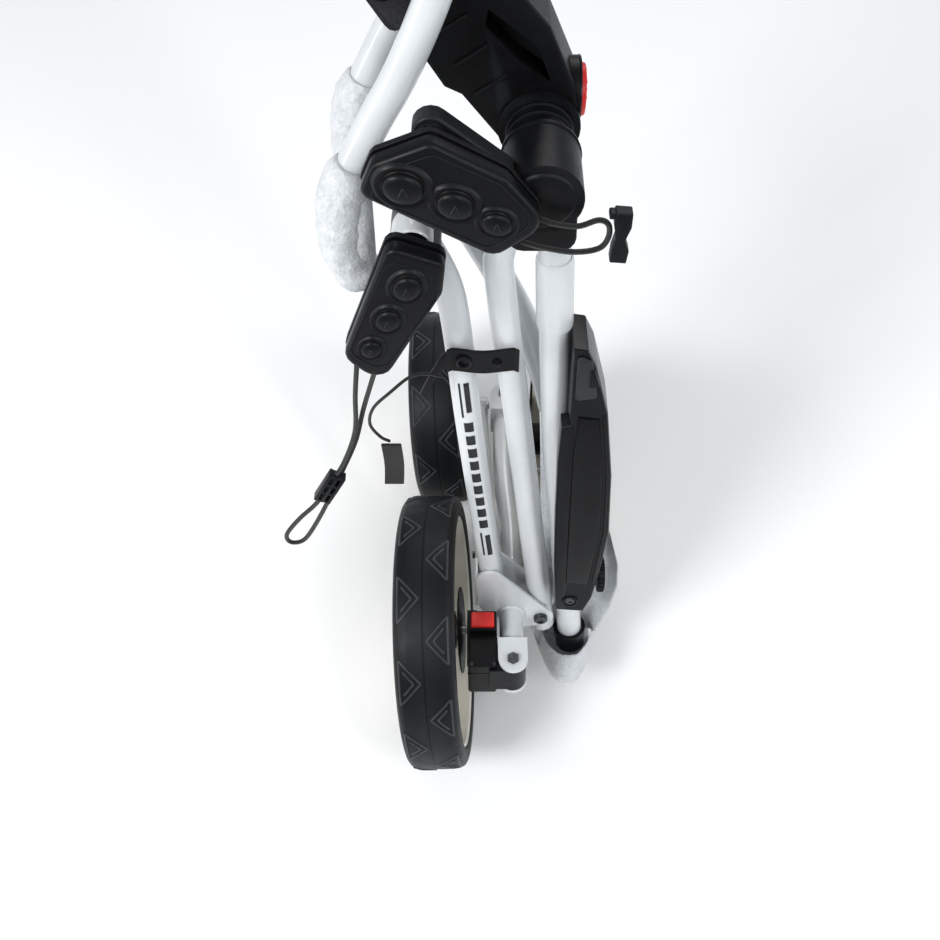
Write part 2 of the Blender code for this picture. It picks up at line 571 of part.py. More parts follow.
# battery case: a deep hump on the right of its tube, hollow from the back
case = [(8.9, 5.9), (11.6, 5.6), (12.3, 8.0), (12.7, 12.0), (13.1, 18.7), (12.6, 27.0), (11.6, 35.0), (10.2, 40.6),
        (9.4, 42.4), (8.2, 42.6), (8.35, 30.0), (8.6, 20.0)]
ob = new_object("battery_case", prism_bm(case, -3.0, 1.55, "y", 0.3))
boolean(ob, swept_bm(smooth_path(C_ROUTE, 3), 1.42), "DIFFERENCE", "groove")
boolean(ob, box_bm((10.35, -2.4, 20.0), (11.85, 2.0, 31.0)), "DIFFERENCE", "bay")
keep_largest(ob)
finish(ob, "gloss_black", on="main_fold", smooth=25)
bp = new_object("battery_pack", box_bm((10.38, -2.37, 20.03), (11.82, 1.2, 30.97), 0.15))
finish(bp, "battery", on="main_fold")
joint_empty("knob_turn", (13.3, -0.9, 9.4))
kn = new_object("charge_knob", cylinder_bm((12.78, -0.9, 9.4), (13.5, -0.9, 9.4), 1.75, sides=20))
finish(kn, "black_plastic", on="knob_turn", smooth=20)

# packing foam: a curled sheet behind the foot of the battery tube, its lower end turned up to the front
bm = bmesh.new()
rows, cols = 16, 12
left = [(-8.4, 7.6), (-6.5, 6.8), (-4.5, 6.6), (-2.6, 6.8), (-1.4, 8.9), (1.0, 9.4), (5.0, 10.2), (14.0, 12.0)]
right = [(-8.4, 10.4), (-6.5, 12.2), (-3.0, 13.6), (1.0, 14.9), (5.0, 15.4), (9.0, 15.1), (14.0, 13.9)]


def along(table, z):
    for (z0, x0), (z1, x1) in zip(table, table[1:]):
        if z <= z1:
            return x0 + (x1 - x0) * (z - z0) / (z1 - z0)
    return table[-1][1]


grid = []
for i in range(rows + 1):
    z = -8.4 + 22.4 * i / rows
    x0, x1 = along(left, z), along(right, z)
    row = []
    for k in range(cols + 1):
        u = k / cols
        y = 2.19 - (3.4 * ((-6.0 - z) / 2.4) ** 1.4 if z < -6.0 else 0.0)
        if u < 0.35 and z < -1.4:
            y -= 2.4 * ((0.35 - u) / 0.35) ** 2
        if u > 0.75 and z > -6:
            y -= 1.6 * ((u - 0.75) / 0.25) ** 2
        row.append(bm.verts.new(Vector((x0 + (x1 - x0) * u, y, z)) * CM))
    grid.append(row)
for r0, r1 in zip(grid, grid[1:]):
    for k in range(cols):
        bm.faces.new((r0[k], r0[k + 1], r1[k + 1], r1[k]))
bmesh.ops.recalc_face_normals(bm, faces=bm.faces)
fs = new_object_raw("foam_sheet", bm)
sol = fs.modifiers.new("thick", "SOLIDIFY")
sol.thickness = 0.22 * CM
sol.offset = 0.0
finish(fs, "foam", on="main_fold", smooth=50)

# packing foam round the front of the right wheel: over the tread and down its outer face
FR = REAR_R + GAP
fw = REAR_W / 2 + GAP
foam = [(FR, -fw - 0.2), (FR, fw), (9.6, fw), (9.6, fw + 0.28), (FR + 0.28, fw + 0.28), (FR + 0.28, -fw - 0.2)]
turned("foam_wheel_wrap", foam, (0, 0, 0), "foam", hub_frame(RIGHT_WHEEL, 0.0), "right_flip", steps=22, angle=150.0, start=68.0)

# ---- handle: upper housing, console, red release, twin grips -------------------------------------
joint_empty("handle_fold", (hx, 0, hz))
link = [(2.3, 58.2), (-0.6, 62.0), (-1.8, 62.6), (-3.4, 65.2), (-4.6, 69.6), (0.6, 72.6), (5.4, 67.0), (7.4, 62.4),
        (7.7, 59.6), (6.4, 57.2), (4.2, 56.8)]
ob = new_object("handle_link", prism_bm(link, 2.3, 7.0, "y", 0.25))
boolean(ob, cylinder_bm((hx, 1.9, hz), (hx, 7.4, hz), 2.95, sides=32), "UNION", "barrel")
boolean(ob, cylinder_bm((5.0, 4.7, 61.0), (7.7, 4.7, 61.0), 2.35, sides=28), "UNION", "boss")
boolean(ob, cylinder_bm((6.8, 4.7, 61.0), (9.0, 4.7, 61.0), 2.05, sides=28), "DIFFERENCE", "pocket")
boolean(ob, prism_bm([(1.2, 68.4), (4.6, 65.6), (5.6, 63.0), (3.4, 64.6), (1.0, 67.2)], 1.0, 4.4, "y"), "DIFFERENCE",
        "window")
finish(ob, "black_plastic", on="handle_fold", smooth=30)
co = new_object("hinge_collar", cylinder_bm((hx, -0.55, hz), (hx, 1.9 - GAP, hz), 2.3, sides=32))
boolean(co, cylinder_bm((hx, -1.9, hz), (hx, -0.5, hz), 0.95, sides=16), "UNION", "spigot")
finish(co, "gloss_black", on="handle_fold", smooth=35)
joint_empty("release_press", (7.6, 4.7, 61.0))
rb = new_object("handle_release", cylinder_bm((7.3, 4.7, 61.0), (8.2, 4.7, 61.0), 2.0, 1.8, sides=28))
finish(rb, "red_plastic", on="release_press", smooth=35)

console = hull_of_circles([(-5.6, 70.6, 0.9), (0.4, 73.9, 0.9), (-3.6, 77.8, 1.2), (-7.6, 75.6, 1.2)], 6)
ob = new_object("console", prism_bm(console, 0.6, 8.6, "y", 0.3))
boolean(ob, prism_bm([(x + 0.02 * (1 if x > 0 else -1), z) for x, z in link], 1.2, 8.0, "y"), "DIFFERENCE", "joggle")
finish(ob, "gloss_black", on="handle_fold", smooth=30)
joint_empty("speed_turn", (-4.2, 0.3, 74.6))
kd = new_object("speed_dial", cylinder_bm((-4.2, 0.55, 74.6), (-4.2, -0.35, 74.6), 1.3, 1.2, sides=24))
finish(kd, "pad_rubber", on="speed_turn", smooth=30)
nz = 70.2
near_route = [(-1.1, -1.0, 75.6), (-1.9, -1.0, 72.2), (-3.0, -1.0, 69.2), (-4.7, -1.0, 65.4), (-6.8, -1.0, 61.5), (-8.9, -1.0, 56.8),
              (-9.4, -1.0, 52.4), (-8.3, -1.0, 48.6)]
far_route = [(x + 0.2, y + 10.9, z) for x, y, z in near_route]
for side, route in (("near", near_route), ("far", far_route)):
    tube("grip_tube_" + side, route, TUBE_R, "white_paint", on="handle_fold", wall=0.2, per=4)
    full = smooth_path(route, 4)
    sleeve = full[19:]
    sleeve[-1] = sleeve[-1] + (sleeve[-1] - sleeve[-2]).normalized() * 0.4
    sl = tube("grip_foam_" + side, sleeve, 1.62, "foam", on="handle_fold", wall=0.36, path=False)
yk = new_object("grip_wrap", prism_bm(hull_of_circles([(-4.9, 68.3, 0.8), (-6.0, 70.6, 1.1), (-3.4, 71.2, 0.9)], 6), 0.9, 8.3, "y", 0.25))
boolean(yk, prism_bm([(x - 0.05, z - 0.02) for x, z in link], 1.9, 7.4, "y"), "DIFFERENCE", "joggle")
boolean(yk, prism_bm(hull_of_circles([(-5.6, 70.6, 0.95), (0.4, 73.9, 0.95), (-3.6, 77.8, 1.25), (-7.6, 75.6, 1.25)], 6), 0.5, 8.7, "y"), "DIFFERENCE", "console_seat")
keep_largest(yk)
finish(yk, "pad_rubber", on="handle_fold", smooth=30)


# ---- bag pads ------------------------------------------------------------------------------------
def pad(name, pivot, outline, front, back, domes, on):
    """A rubber bag rest: a backing plate and a thick rubber face with three round domes."""
    ob = new_object(name + "_pad_back", prism_bm(outline, back, back - 0.5, "y"))
    boolean(ob, cylinder_bm((pivot[0], back - 0.3, pivot[1]), (pivot[0], back + 0.6, pivot[1]), 1.0, sides=20), "UNION",
            "boss")
    boolean(ob, cylinder_bm((pivot[0], back - 2, pivot[1]), (pivot[0], back + 2, pivot[1]), 0.42, sides=16), "DIFFERENCE",
            "bore")
    finish(ob, "black_plastic", on=on, smooth=30)
    cx = sum(p[0] for p in outline) / len(outline)
    cz = sum(p[1] for p in outline) / len(outline)
    face = new_object(name + "_pad_face", prism_bm([(cx + (x - cx) * 0.97, cz + (z - cz) * 0.96) for x, z in outline],
                                                  front, back - 0.5 - GAP, "y", 0.3))
    for i, (x, z, r) in enumerate(domes):
        bm = bmesh.new()
        bmesh.ops.create_uvsphere(bm, u_segments=16, v_segments=8, radius=r * CM)
        bmesh.ops.scale(bm, vec=(1, 0.42, 1), verts=bm.verts)
        bmesh.ops.translate(bm, vec=Vector((x, front + 0.05, z)) * CM, verts=bm.verts)
        boolean(face, bm, "UNION", "dome%d" % i)
    finish(face, "pad_rubber", on=on, smooth=35)


UP_PIVOT = (-2.5, 64.4)
joint_empty("upper_pad_swivel", (UP_PIVOT[0], -6.0, UP_PIVOT[1]))
upper = hull_of_circles([(-5.6, 63.3, 0.9), (-6.3, 61.9, 0.8), (1.9, 62.2, 0.8), (3.2, 59.4, 1.5), (1.6, 57.9, 1.3),
                         (-2.5, 64.6, 0.9)], 6)
pad("upper", UP_PIVOT, upper, -8.6, -6.6, [(-4.4, 62.2, 1.55), (-1.2, 60.7, 1.4), (1.6, 59.3, 1.15)], "upper_pad_swivel")
ps = new_object("upper_pad_screw", cylinder_bm((UP_PIVOT[0], -7.06, UP_PIVOT[1]), (UP_PIVOT[0], -3.9, UP_PIVOT[1]), 0.37, sides=16))
finish(ps, "steel", on="main_fold", smooth=35)

LOW_PIVOT = (-4.2, 53.6)
joint_empty("lower_pad_swivel", (LOW_PIVOT[0], -4.0, LOW_PIVOT[1]))
lower = hull_of_circles([(-5.2, 54.6, 0.9), (-2.6, 53.6, 0.9), (-2.8, 51.6, 0.9), (-8.1, 45.2, 1.4), (-7.2, 44.3, 1.4)], 6)
pad("lower", LOW_PIVOT, lower, -6.4, -4.4, [(-4.4, 51.6, 1.2), (-5.9, 48.8, 1.15), (-7.3, 45.9, 0.95)], "lower_pad_swivel")
cl = hull_of_circles([(-4.2, 53.6, 1.3), (-4.0, 52.4, 1.9)], 8)
ob = new_object("lower_pad_clamp", prism_bm(cl, -3.7, 1.6, "y", 0.2))
boolean(ob, cylinder_bm((-2.2, 0, 48.5), (-4.2, 0, 52.3), TUBE_R + 0.1, sides=20), "DIFFERENCE", "socket")
boolean(ob, cylinder_bm((LOW_PIVOT[0], -5, LOW_PIVOT[1]), (LOW_PIVOT[0], -2.4, LOW_PIVOT[1]), 0.42, sides=16), "DIFFERENCE",
        "bore")
finish(ob, "black_plastic", smooth=30)
ps = new_object("lower_pad_screw", cylinder_bm((LOW_PIVOT[0], -4.86, LOW_PIVOT[1]), (LOW_PIVOT[0], -2.45, LOW_PIVOT[1]), 0.37, sides=16))
finish(ps, "steel", smooth=35)

# ---- elastic cords: each is doubled back through its hook or adjuster -----------------------------
CORD_R = 0.2
UPPER_CORD = [(4.62, -7.4, 58.9), (5.6, -7.4, 58.5), (7.2, -7.3, 58.2), (8.55, -7.3, 58.7), (9.25, -7.3, 58.3),
              (9.3, -7.3, 57.2), (8.7, -7.3, 56.3), (7.0, -7.4, 56.1), (4.9, -7.4, 56.5), (3.45, -7.4, 57.0)]
tube("upper_bungee", UPPER_CORD, CORD_R, "elastic", on="upper_pad_swivel", sides=2, per=4)
hk = new_object("upper_hook", box_bm((9.62, -7.85, 55.4), (10.1, -6.8, 59.6), 0.18))
finish(hk, "black_plastic", on="upper_pad_swivel", smooth=30)

LOWER_CORD = [(-8.75, -5.4, 43.35), (-9.1, -5.5, 40.0), (-9.4, -5.6, 36.0), (-10.6, -5.7, 32.2), (-11.8, -5.7, 29.8),
              (-13.4, -5.7, 26.8), (-15.2, -5.6, 24.4), (-16.6, -5.5, 22.0), (-16.4, -5.4, 20.7), (-15.2, -5.4, 21.0),
              (-13.9, -5.5, 23.4), (-12.3, -5.6, 27.2), (-10.9, -5.3, 30.6), (-9.5, -5.0, 34.2), (-8.6, -4.9, 38.0),
              (-7.4, -5.2, 42.55)]
tube("lower_bungee", LOWER_CORD, CORD_R, "elastic", on="lower_pad_swivel", sides=2, per=3)
LOOP = [(-2.25, -1.62, 38.3), (-3.6, -1.6, 38.6), (-5.0, -1.6, 38.2), (-6.6, -1.7, 36.6), (-8.2, -1.7, 34.6), (-8.6, -1.7, 32.6), (-7.8, -1.7, 31.0), (-7.0, -1.7, 30.4)]
tube("small_loop", LOOP, 0.14, "elastic", sides=2, per=4)
tb = new_object("small_loop_tab", box_bm((-7.75, -1.82, 24.8), (-6.0, -1.58, 30.25), 0.05, 1))
finish(tb, "webbing")
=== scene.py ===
import json
import math

import bmesh
import bpy
from mathutils import Matrix, Vector, noise


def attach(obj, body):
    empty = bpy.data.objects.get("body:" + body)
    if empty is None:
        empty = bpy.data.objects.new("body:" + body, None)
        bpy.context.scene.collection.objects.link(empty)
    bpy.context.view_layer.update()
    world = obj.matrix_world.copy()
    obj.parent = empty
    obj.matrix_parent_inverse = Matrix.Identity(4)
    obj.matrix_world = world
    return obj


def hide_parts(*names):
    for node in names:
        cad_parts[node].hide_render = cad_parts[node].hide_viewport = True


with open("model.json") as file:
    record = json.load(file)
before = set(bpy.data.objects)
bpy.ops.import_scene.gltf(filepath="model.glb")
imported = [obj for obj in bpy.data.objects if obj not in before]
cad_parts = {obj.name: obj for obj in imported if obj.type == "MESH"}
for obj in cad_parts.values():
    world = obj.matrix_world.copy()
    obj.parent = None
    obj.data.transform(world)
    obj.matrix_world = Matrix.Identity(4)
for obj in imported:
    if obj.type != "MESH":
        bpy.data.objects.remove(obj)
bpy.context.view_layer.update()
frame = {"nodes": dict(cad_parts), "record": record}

CM = 0.01
SHIFT = Vector((-2.245, -13.30, 0.0))
LEAN = math.atan(0.22)
LEANING = (Matrix.Translation((SHIFT + Vector((0, 1.5, 14.5))) * CM) @ Matrix.Rotation(-LEAN, 4, "X"))
CAMBER = math.radians(-4.5)
REAR_R, FRONT_R, WHEEL_W = 14.5, 11.5, 6.0
LEFT_WHEEL, RIGHT_WHEEL, FRONT_WHEEL = (-3.5, 0.0, 14.61), (10.3, 19.35, 14.5), (-3.2, 29.6, 11.62)
TUBE_R = 1.2

scene = bpy.context.scene

# ------------------------------------------------------------------ camera, light, floor
cam = bpy.data.objects.new("camera", bpy.data.cameras.new("camera"))
scene.collection.objects.link(cam)
scene.camera = cam
cam.data.sensor_width = 36.0
cam.data.lens = 36.0 * 1200 / 940
cam.location = (SHIFT.x * CM, (SHIFT.y - 45.1) * CM, 1.36)
cam.rotation_euler = (math.radians(90 - 62), 0, 0)
cam.data.clip_end = 30

scene.view_settings.view_transform = "Standard"
scene.view_settings.look = "None"
scene.view_settings.gamma = 0.86
world = bpy.data.worlds.new("studio")
scene.world = world
world.use_nodes = True
world.node_tree.nodes["Background"].inputs[0].default_value = (0.93, 0.96, 1.0, 1)
world.node_tree.nodes["Background"].inputs[1].default_value = 0.44


def area(name, loc, target, size, power, colour=(1, 1, 1)):
    d = bpy.data.lights.new(name, "AREA")
    d.shape = "RECTANGLE"
    d.size, d.size_y = size
    d.energy = power
    d.color = colour
    o = bpy.data.objects.new(name, d)
    o.location = loc
    o.rotation_euler = (Vector(target) - Vector(loc)).to_track_quat("-Z", "Y").to_euler()
    scene.collection.objects.link(o)


area("key", (-1.3, -1.2, 2.3), (0, 0, 0.4), (0.7, 0.7), 34)
area("fill", (1.9, -0.5, 1.5), (0, 0, 0.4), (0.5, 1.6), 12, (0.95, 0.98, 1.0))
area("strip", (-1.7, -0.5, 1.0), (-0.03, -0.05, 0.35), (0.16, 1.5), 9)
area("top_strip", (0.7, -1.0, 1.9), (0.03, 0, 0.7), (0.12, 0.9), 7)
area("rim", (0.3, 2.0, 1.9), (0, 0, 0.5), (1.4, 0.5), 14)


def principled(name):
    m = bpy.data.materials.new(name)
    m.use_nodes = True
    nt = m.node_tree
    return m, nt, nt.nodes["Principled BSDF"]


class Mat:
    """A few shorthands for building node materials in object space (metres)."""

    def __init__(self, name, rough=0.5, metal=0.0, coat=0.0, spec=0.5):
        self.m, self.nt, self.b = principled(name)
        self.b.inputs["Roughness"].default_value = rough
        self.b.inputs["Metallic"].default_value = metal
        self.b.inputs["Coat Weight"].default_value = coat
        self.b.inputs["Coat Roughness"].default_value = 0.12
        self.b.inputs["Specular IOR Level"].default_value = spec
        self.co = self.nt.nodes.new("ShaderNodeTexCoord").outputs["Object"]
        self.normal = None

    def noise(self, scale, detail=4.0, rough=0.55, stretch=None):
        src = self.co
        if stretch:
            mp = self.nt.nodes.new("ShaderNodeMapping")
            mp.inputs["Scale"].default_value = stretch
            self.nt.links.new(src, mp.inputs["Vector"])
            src = mp.outputs["Vector"]
        n = self.nt.nodes.new("ShaderNodeTexNoise")
        n.inputs["Scale"].default_value = scale
        n.inputs["Detail"].default_value = detail
        n.inputs["Roughness"].default_value = rough
        self.nt.links.new(src, n.inputs["Vector"])
        return n.outputs["Fac"]

    def voronoi(self, scale, feature="F1"):
        n = self.nt.nodes.new("ShaderNodeTexVoronoi")
        n.feature = feature
        n.inputs["Scale"].default_value = scale
        self.nt.links.new(self.co, n.inputs["Vector"])
        return n.outputs["Distance"]

    def wave(self, scale, distortion=0.0, direction="DIAGONAL"):
        n = self.nt.nodes.new("ShaderNodeTexWave")
        n.bands_direction = direction
        n.inputs["Scale"].default_value = scale
        n.inputs["Distortion"].default_value = distortion
        self.nt.links.new(self.co, n.inputs["Vector"])
        return n.outputs["Fac"]

    def ramp(self, fac, stops):
        r = self.nt.nodes.new("ShaderNodeValToRGB")
        els = r.color_ramp.elements
        while len(els) < len(stops):
            els.new(0.5)
        for e, (p, c) in zip(els, stops):
            e.position = p
            e.color = (*c, 1.0) if len(c) == 3 else c
        self.nt.links.new(fac, r.inputs["Fac"])
        return r.outputs["Color"]

    def mixc(self, fac, a, b):
        n = self.nt.nodes.new("ShaderNodeMix")
        n.data_type = "RGBA"
        for sock, v in ((n.inputs["Factor"], fac), (n.inputs[6], a), (n.inputs[7], b)):
            if isinstance(v, (tuple, list)):
                sock.default_value = (*v, 1.0)
            elif isinstance(v, (int, float)):
                sock.default_value = v
            else:
                self.nt.links.new(v, sock)
        return n.outputs[2]

    def colour(self, sock):
        self.nt.links.new(sock, self.b.inputs["Base Color"])

    def rough(self, fac, lo, hi):
        n = self.nt.nodes.new("ShaderNodeMapRange")
        n.inputs["To Min"].default_value = lo
        n.inputs["To Max"].default_value = hi
        self.nt.links.new(fac, n.inputs["Value"])
        self.nt.links.new(n.outputs["Result"], self.b.inputs["Roughness"])

    def bump(self, fac, strength, distance):
        n = self.nt.nodes.new("ShaderNodeBump")
        n.inputs["Strength"].default_value = strength
        n.inputs["Distance"].default_value = distance
        self.nt.links.new(fac, n.inputs["Height"])
        if self.normal is not None:
            self.nt.links.new(self.normal, n.inputs["Normal"])
        self.normal = n.outputs["Normal"]
        self.nt.links.new(self.normal, self.b.inputs["Normal"])

    def edge_wear(self, base, light, amount=0.35):
        """Lightens worn edges a little, by how sharply the surface turns."""
        g = self.nt.nodes.new("ShaderNodeNewGeometry")
        r = self.nt.nodes.new("ShaderNodeMapRange")
        r.inputs["From Min"].default_value = 0.52
        r.inputs["From Max"].default_value = 0.62
        r.inputs["To Max"].default_value = amount
        self.nt.links.new(g.outputs["Pointiness"], r.inputs["Value"])
        return self.mixc(r.outputs["Result"], base, light)


def make_materials():
    M = {}
    a = Mat("frame_paint", 0.3, coat=0.55)
    n = a.noise(22, 3)
    a.colour(a.edge_wear(a.ramp(n, [(0.3, (0.665, 0.69, 0.705)), (0.7, (0.72, 0.742, 0.755))]), (0.80, 0.81, 0.82), 0.5))
    a.rough(a.noise(300, 3), 0.24, 0.38)
    a.bump(a.noise(650, 2), 0.08, 0.0004)
    M["frame_paint"] = a.m

    a = Mat("black_plastic", 0.5, spec=0.26)
    n = a.noise(60, 5)
    a.colour(a.edge_wear(a.ramp(n, [(0.3, (0.0035, 0.0038, 0.0045)), (0.75, (0.008, 0.0085, 0.0095))]), (0.03, 0.032, 0.036), 0.5))
    a.rough(a.noise(180, 4), 0.26, 0.46)
    a.bump(a.voronoi(2200), 0.22, 0.0004)
    a.bump(a.noise(900, 3), 0.15, 0.0004)
    M["black_plastic"] = a.m

    a = Mat("gloss_black", 0.22, coat=0.03, spec=0.2)
    n = a.noise(40, 5)
    a.colour(a.edge_wear(a.ramp(n, [(0.3, (0.003, 0.0033, 0.004)), (0.75, (0.0065, 0.007, 0.008))]), (0.03, 0.032, 0.036), 0.5))
    a.rough(a.noise(120, 6, 0.7), 0.16, 0.32)
    a.bump(a.noise(1500, 2), 0.06, 0.0004)
    M["gloss_black"] = a.m

    a = Mat("tyre_rubber", 0.62, spec=0.32)
    n = a.noise(16, 6, 0.65)
    c = a.ramp(n, [(0.3, (0.005, 0.0056, 0.0066)), (0.55, (0.008, 0.009, 0.0105)), (0.8, (0.0125, 0.014, 0.016))])
    a.colour(a.edge_wear(c, (0.075, 0.078, 0.084), 0.8))
    a.rough(a.noise(90, 5), 0.36, 0.56)
    a.bump(a.noise(1300, 4), 0.25, 0.0005)
    a.bump(a.noise(120, 4), 0.08, 0.001)
    M["tyre"] = a.m

    a = Mat("pad_rubber", 0.5, spec=0.26)
    n = a.noise(35, 5)
    a.colour(a.edge_wear(a.ramp(n, [(0.3, (0.0035, 0.0038, 0.0045)), (0.75, (0.008, 0.0085, 0.0095))]), (0.032, 0.034, 0.038), 0.6))
    a.rough(a.noise(150, 5), 0.28, 0.46)
    a.bump(a.noise(1600, 3), 0.18, 0.0004)
    M["pad_rubber"] = a.m

    a = Mat("rim_cream", 0.42)
    n = a.noise(20, 5)
    a.colour(a.edge_wear(a.ramp(n, [(0.3, (0.72, 0.69, 0.61)), (0.7, (0.82, 0.80, 0.73))]), (0.9, 0.88, 0.82), 0.5))
    a.rough(a.noise(200, 4), 0.34, 0.5)
    a.bump(a.noise(900, 3), 0.08, 0.0004)
    M["rim"] = a.m

    a = Mat("red_plastic", 0.38)
    a.b.inputs["Subsurface Weight"].default_value = 0.12
    a.b.inputs["Subsurface Radius"].default_value = (0.004, 0.001, 0.001)
    n = a.noise(120, 4)
    a.colour(a.edge_wear(a.ramp(n, [(0.3, (0.62, 0.018, 0.018)), (0.75, (0.80, 0.035, 0.03))]), (0.9, 0.12, 0.1), 0.5))
    a.rough(a.noise(400, 4), 0.3, 0.46)
    a.bump(a.noise(1800, 2), 0.12, 0.0003)
    M["red_plastic"] = a.m

    a = Mat("steel", 0.28, metal=1.0)
    n = a.noise(400, 4, stretch=(1, 1, 12))
    a.colour(a.ramp(n, [(0.3, (0.42, 0.43, 0.45)), (0.7, (0.62, 0.63, 0.65))]))
    a.rough(a.noise(900, 3), 0.2, 0.4)
    a.bump(n, 0.1, 0.0002)
    M["steel"] = a.m

    a = Mat("bolt", 0.34, metal=1.0)
    n = a.noise(300, 4)
    a.colour(a.ramp(n, [(0.3, (0.07, 0.073, 0.08)), (0.7, (0.16, 0.165, 0.175))]))
    a.rough(n, 0.25, 0.45)
    a.bump(n, 0.1, 0.0002)
    M["bolt"] = a.m

    a = Mat("foam", 0.55)
    a.b.inputs["Sheen Weight"].default_value = 0.25
    a.b.inputs["Transmission Weight"].default_value = 0.08
    a.b.inputs["Subsurface Weight"].default_value = 0.15
    a.b.inputs["Subsurface Radius"].default_value = (0.004, 0.004, 0.005)
    # crinkle noise: the fine crumple bump, and through its ramp painted shade in the creases
    crinkle_and_crease_shade = a.noise(70, 8, 0.72)
    fibre = a.noise(260, 4, 0.7, (1, 2.5, 0.6))
    # painted crease shade: colour runs from grey where the crinkle bump is low to pale where it is raised
    c = a.mixc(0.55, a.ramp(crinkle_and_crease_shade, [(0.36, (0.60, 0.64, 0.67)), (0.5, (0.76, 0.785, 0.805)), (0.66, (0.87, 0.885, 0.90))]),
               a.ramp(fibre, [(0.38, (0.66, 0.69, 0.71)), (0.62, (0.88, 0.89, 0.90))]))
    a.colour(c)
    a.rough(crinkle_and_crease_shade, 0.35, 0.7)
    a.bump(a.noise(28, 5, 0.6), 0.6, 0.005)
    a.bump(crinkle_and_crease_shade, 0.8, 0.0026)
    a.bump(a.voronoi(420), 0.35, 0.0008)
    M["foam"] = a.m

    a = Mat("elastic", 0.75)
    a.b.inputs["Sheen Weight"].default_value = 0.25
    w = a.wave(900, 1.5)
    a.colour(a.mixc(a.noise(500, 4), (0.003, 0.0032, 0.0037), (0.008, 0.0085, 0.0098)))
    a.rough(w, 0.6, 0.85)
    a.bump(w, 0.6, 0.0006)
    a.bump(a.noise(2500, 3), 0.3, 0.0003)
    M["elastic"] = a.m

    a = Mat("webbing", 0.85)
    a.b.inputs["Sheen Weight"].default_value = 0.3
    w = a.wave(1100, 0.4, "Z")
    a.colour(a.mixc(w, (0.004, 0.0042, 0.005), (0.013, 0.0135, 0.015)))
    a.bump(w, 0.7, 0.0006)
    a.bump(a.wave(1500, 0.4, "X"), 0.5, 0.0004)
    M["webbing"] = a.m

    a = Mat("leather", 0.5, spec=0.32)
    n = a.noise(45, 4)
    a.colour(a.edge_wear(a.ramp(n, [(0.3, (0.010, 0.010, 0.012)), (0.75, (0.026, 0.026, 0.029))]), (0.06, 0.06, 0.065), 0.5))
    a.rough(a.noise(260, 4), 0.38, 0.6)
    a.bump(a.voronoi(520, "DISTANCE_TO_EDGE"), 0.7, 0.0006)
    a.bump(a.voronoi(330), 0.5, 0.0008)
    a.bump(a.noise(1200, 4), 0.25, 0.0004)
    M["leather"] = a.m

    a = Mat("battery_wrap", 0.45)
    n = a.noise(60, 5)
    a.colour(a.ramp(n, [(0.3, (0.03, 0.05, 0.11)), (0.7, (0.06, 0.09, 0.17))]))
    a.rough(n, 0.3, 0.55)
    a.bump(a.noise(300, 5), 0.25, 0.0006)
    M["battery"] = a.m

    a = Mat("stripe_ink", 0.45)
    n = a.noise(300, 4)
    a.colour(a.ramp(n, [(0.3, (0.012, 0.013, 0.015)), (0.8, (0.035, 0.037, 0.04))]))
    a.rough(n, 0.35, 0.55)
    a.bump(a.noise(1500, 2), 0.1, 0.0002)
    M["ink"] = a.m

    a = Mat("grey_clip", 0.5)
    n = a.noise(80, 5)
    a.colour(a.edge_wear(a.ramp(n, [(0.3, (0.014, 0.015, 0.017)), (0.75, (0.026, 0.028, 0.031))]), (0.07, 0.073, 0.078), 0.5))
    a.rough(n, 0.35, 0.55)
    a.bump(a.noise(1200, 3), 0.15, 0.0004)
    M["clip"] = a.m
    return M


MATS = make_materials()
SLOT_MAT = {"frame_paint": "frame_paint", "tyre": "tyre", "rim": "rim", "black_plastic": "black_plastic",
            "gloss_black": "gloss_black", "pad_rubber": "pad_rubber", "red_plastic": "red_plastic", "steel": "steel",
            "foam": "foam", "elastic": "elastic", "webbing": "webbing", "battery": "battery"}
NODE_SLOT = {s["node"]: s["material_slot"] for s in frame["record"]["subparts"]}
NODE_BODY = {n: b for b, ns in frame["record"]["behaviour"]["bodies"].items() for n in ns}

for name, ob in frame["nodes"].items():
    ob.data.materials.clear()
    ob.data.materials.append(MATS[SLOT_MAT[NODE_SLOT[name]]])


# ------------------------------------------------------------------ helpers
def place(ob, mat, body, m=LEANING, smooth=35):
    """Puts a piece built in cm into the row frame: its mesh takes the transform."""
    ob.data.transform(m @ Matrix.Scale(CM, 4))
    ob.data.materials.clear()
    ob.data.materials.append(MATS[mat])
    if smooth and ob.type == "MESH":
        ob.data.shade_smooth()
        ob.data.set_sharp_from_angle(angle=math.radians(smooth))
    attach(ob, body)
    return ob


def from_bm(name, bm, recalc=True):
    me = bpy.data.meshes.new(name)
    if recalc:
        bmesh.ops.recalc_face_normals(bm, faces=bm.faces)
    bm.to_mesh(me)
    bm.free()
    ob = bpy.data.objects.new(name, me)
    scene.collection.objects.link(ob)
    return ob


def soften(ob, width, segments=3, angle=35):
    """Rounded edges, in cm before place() is called."""
    b = ob.modifiers.new("round", "BEVEL")
    b.width = width
    b.segments = segments
    b.limit_method = "ANGLE"
    b.angle_limit = math.radians(angle)
    b.harden_normals = False
    b.miter_outer = "MITER_ARC"
    return ob


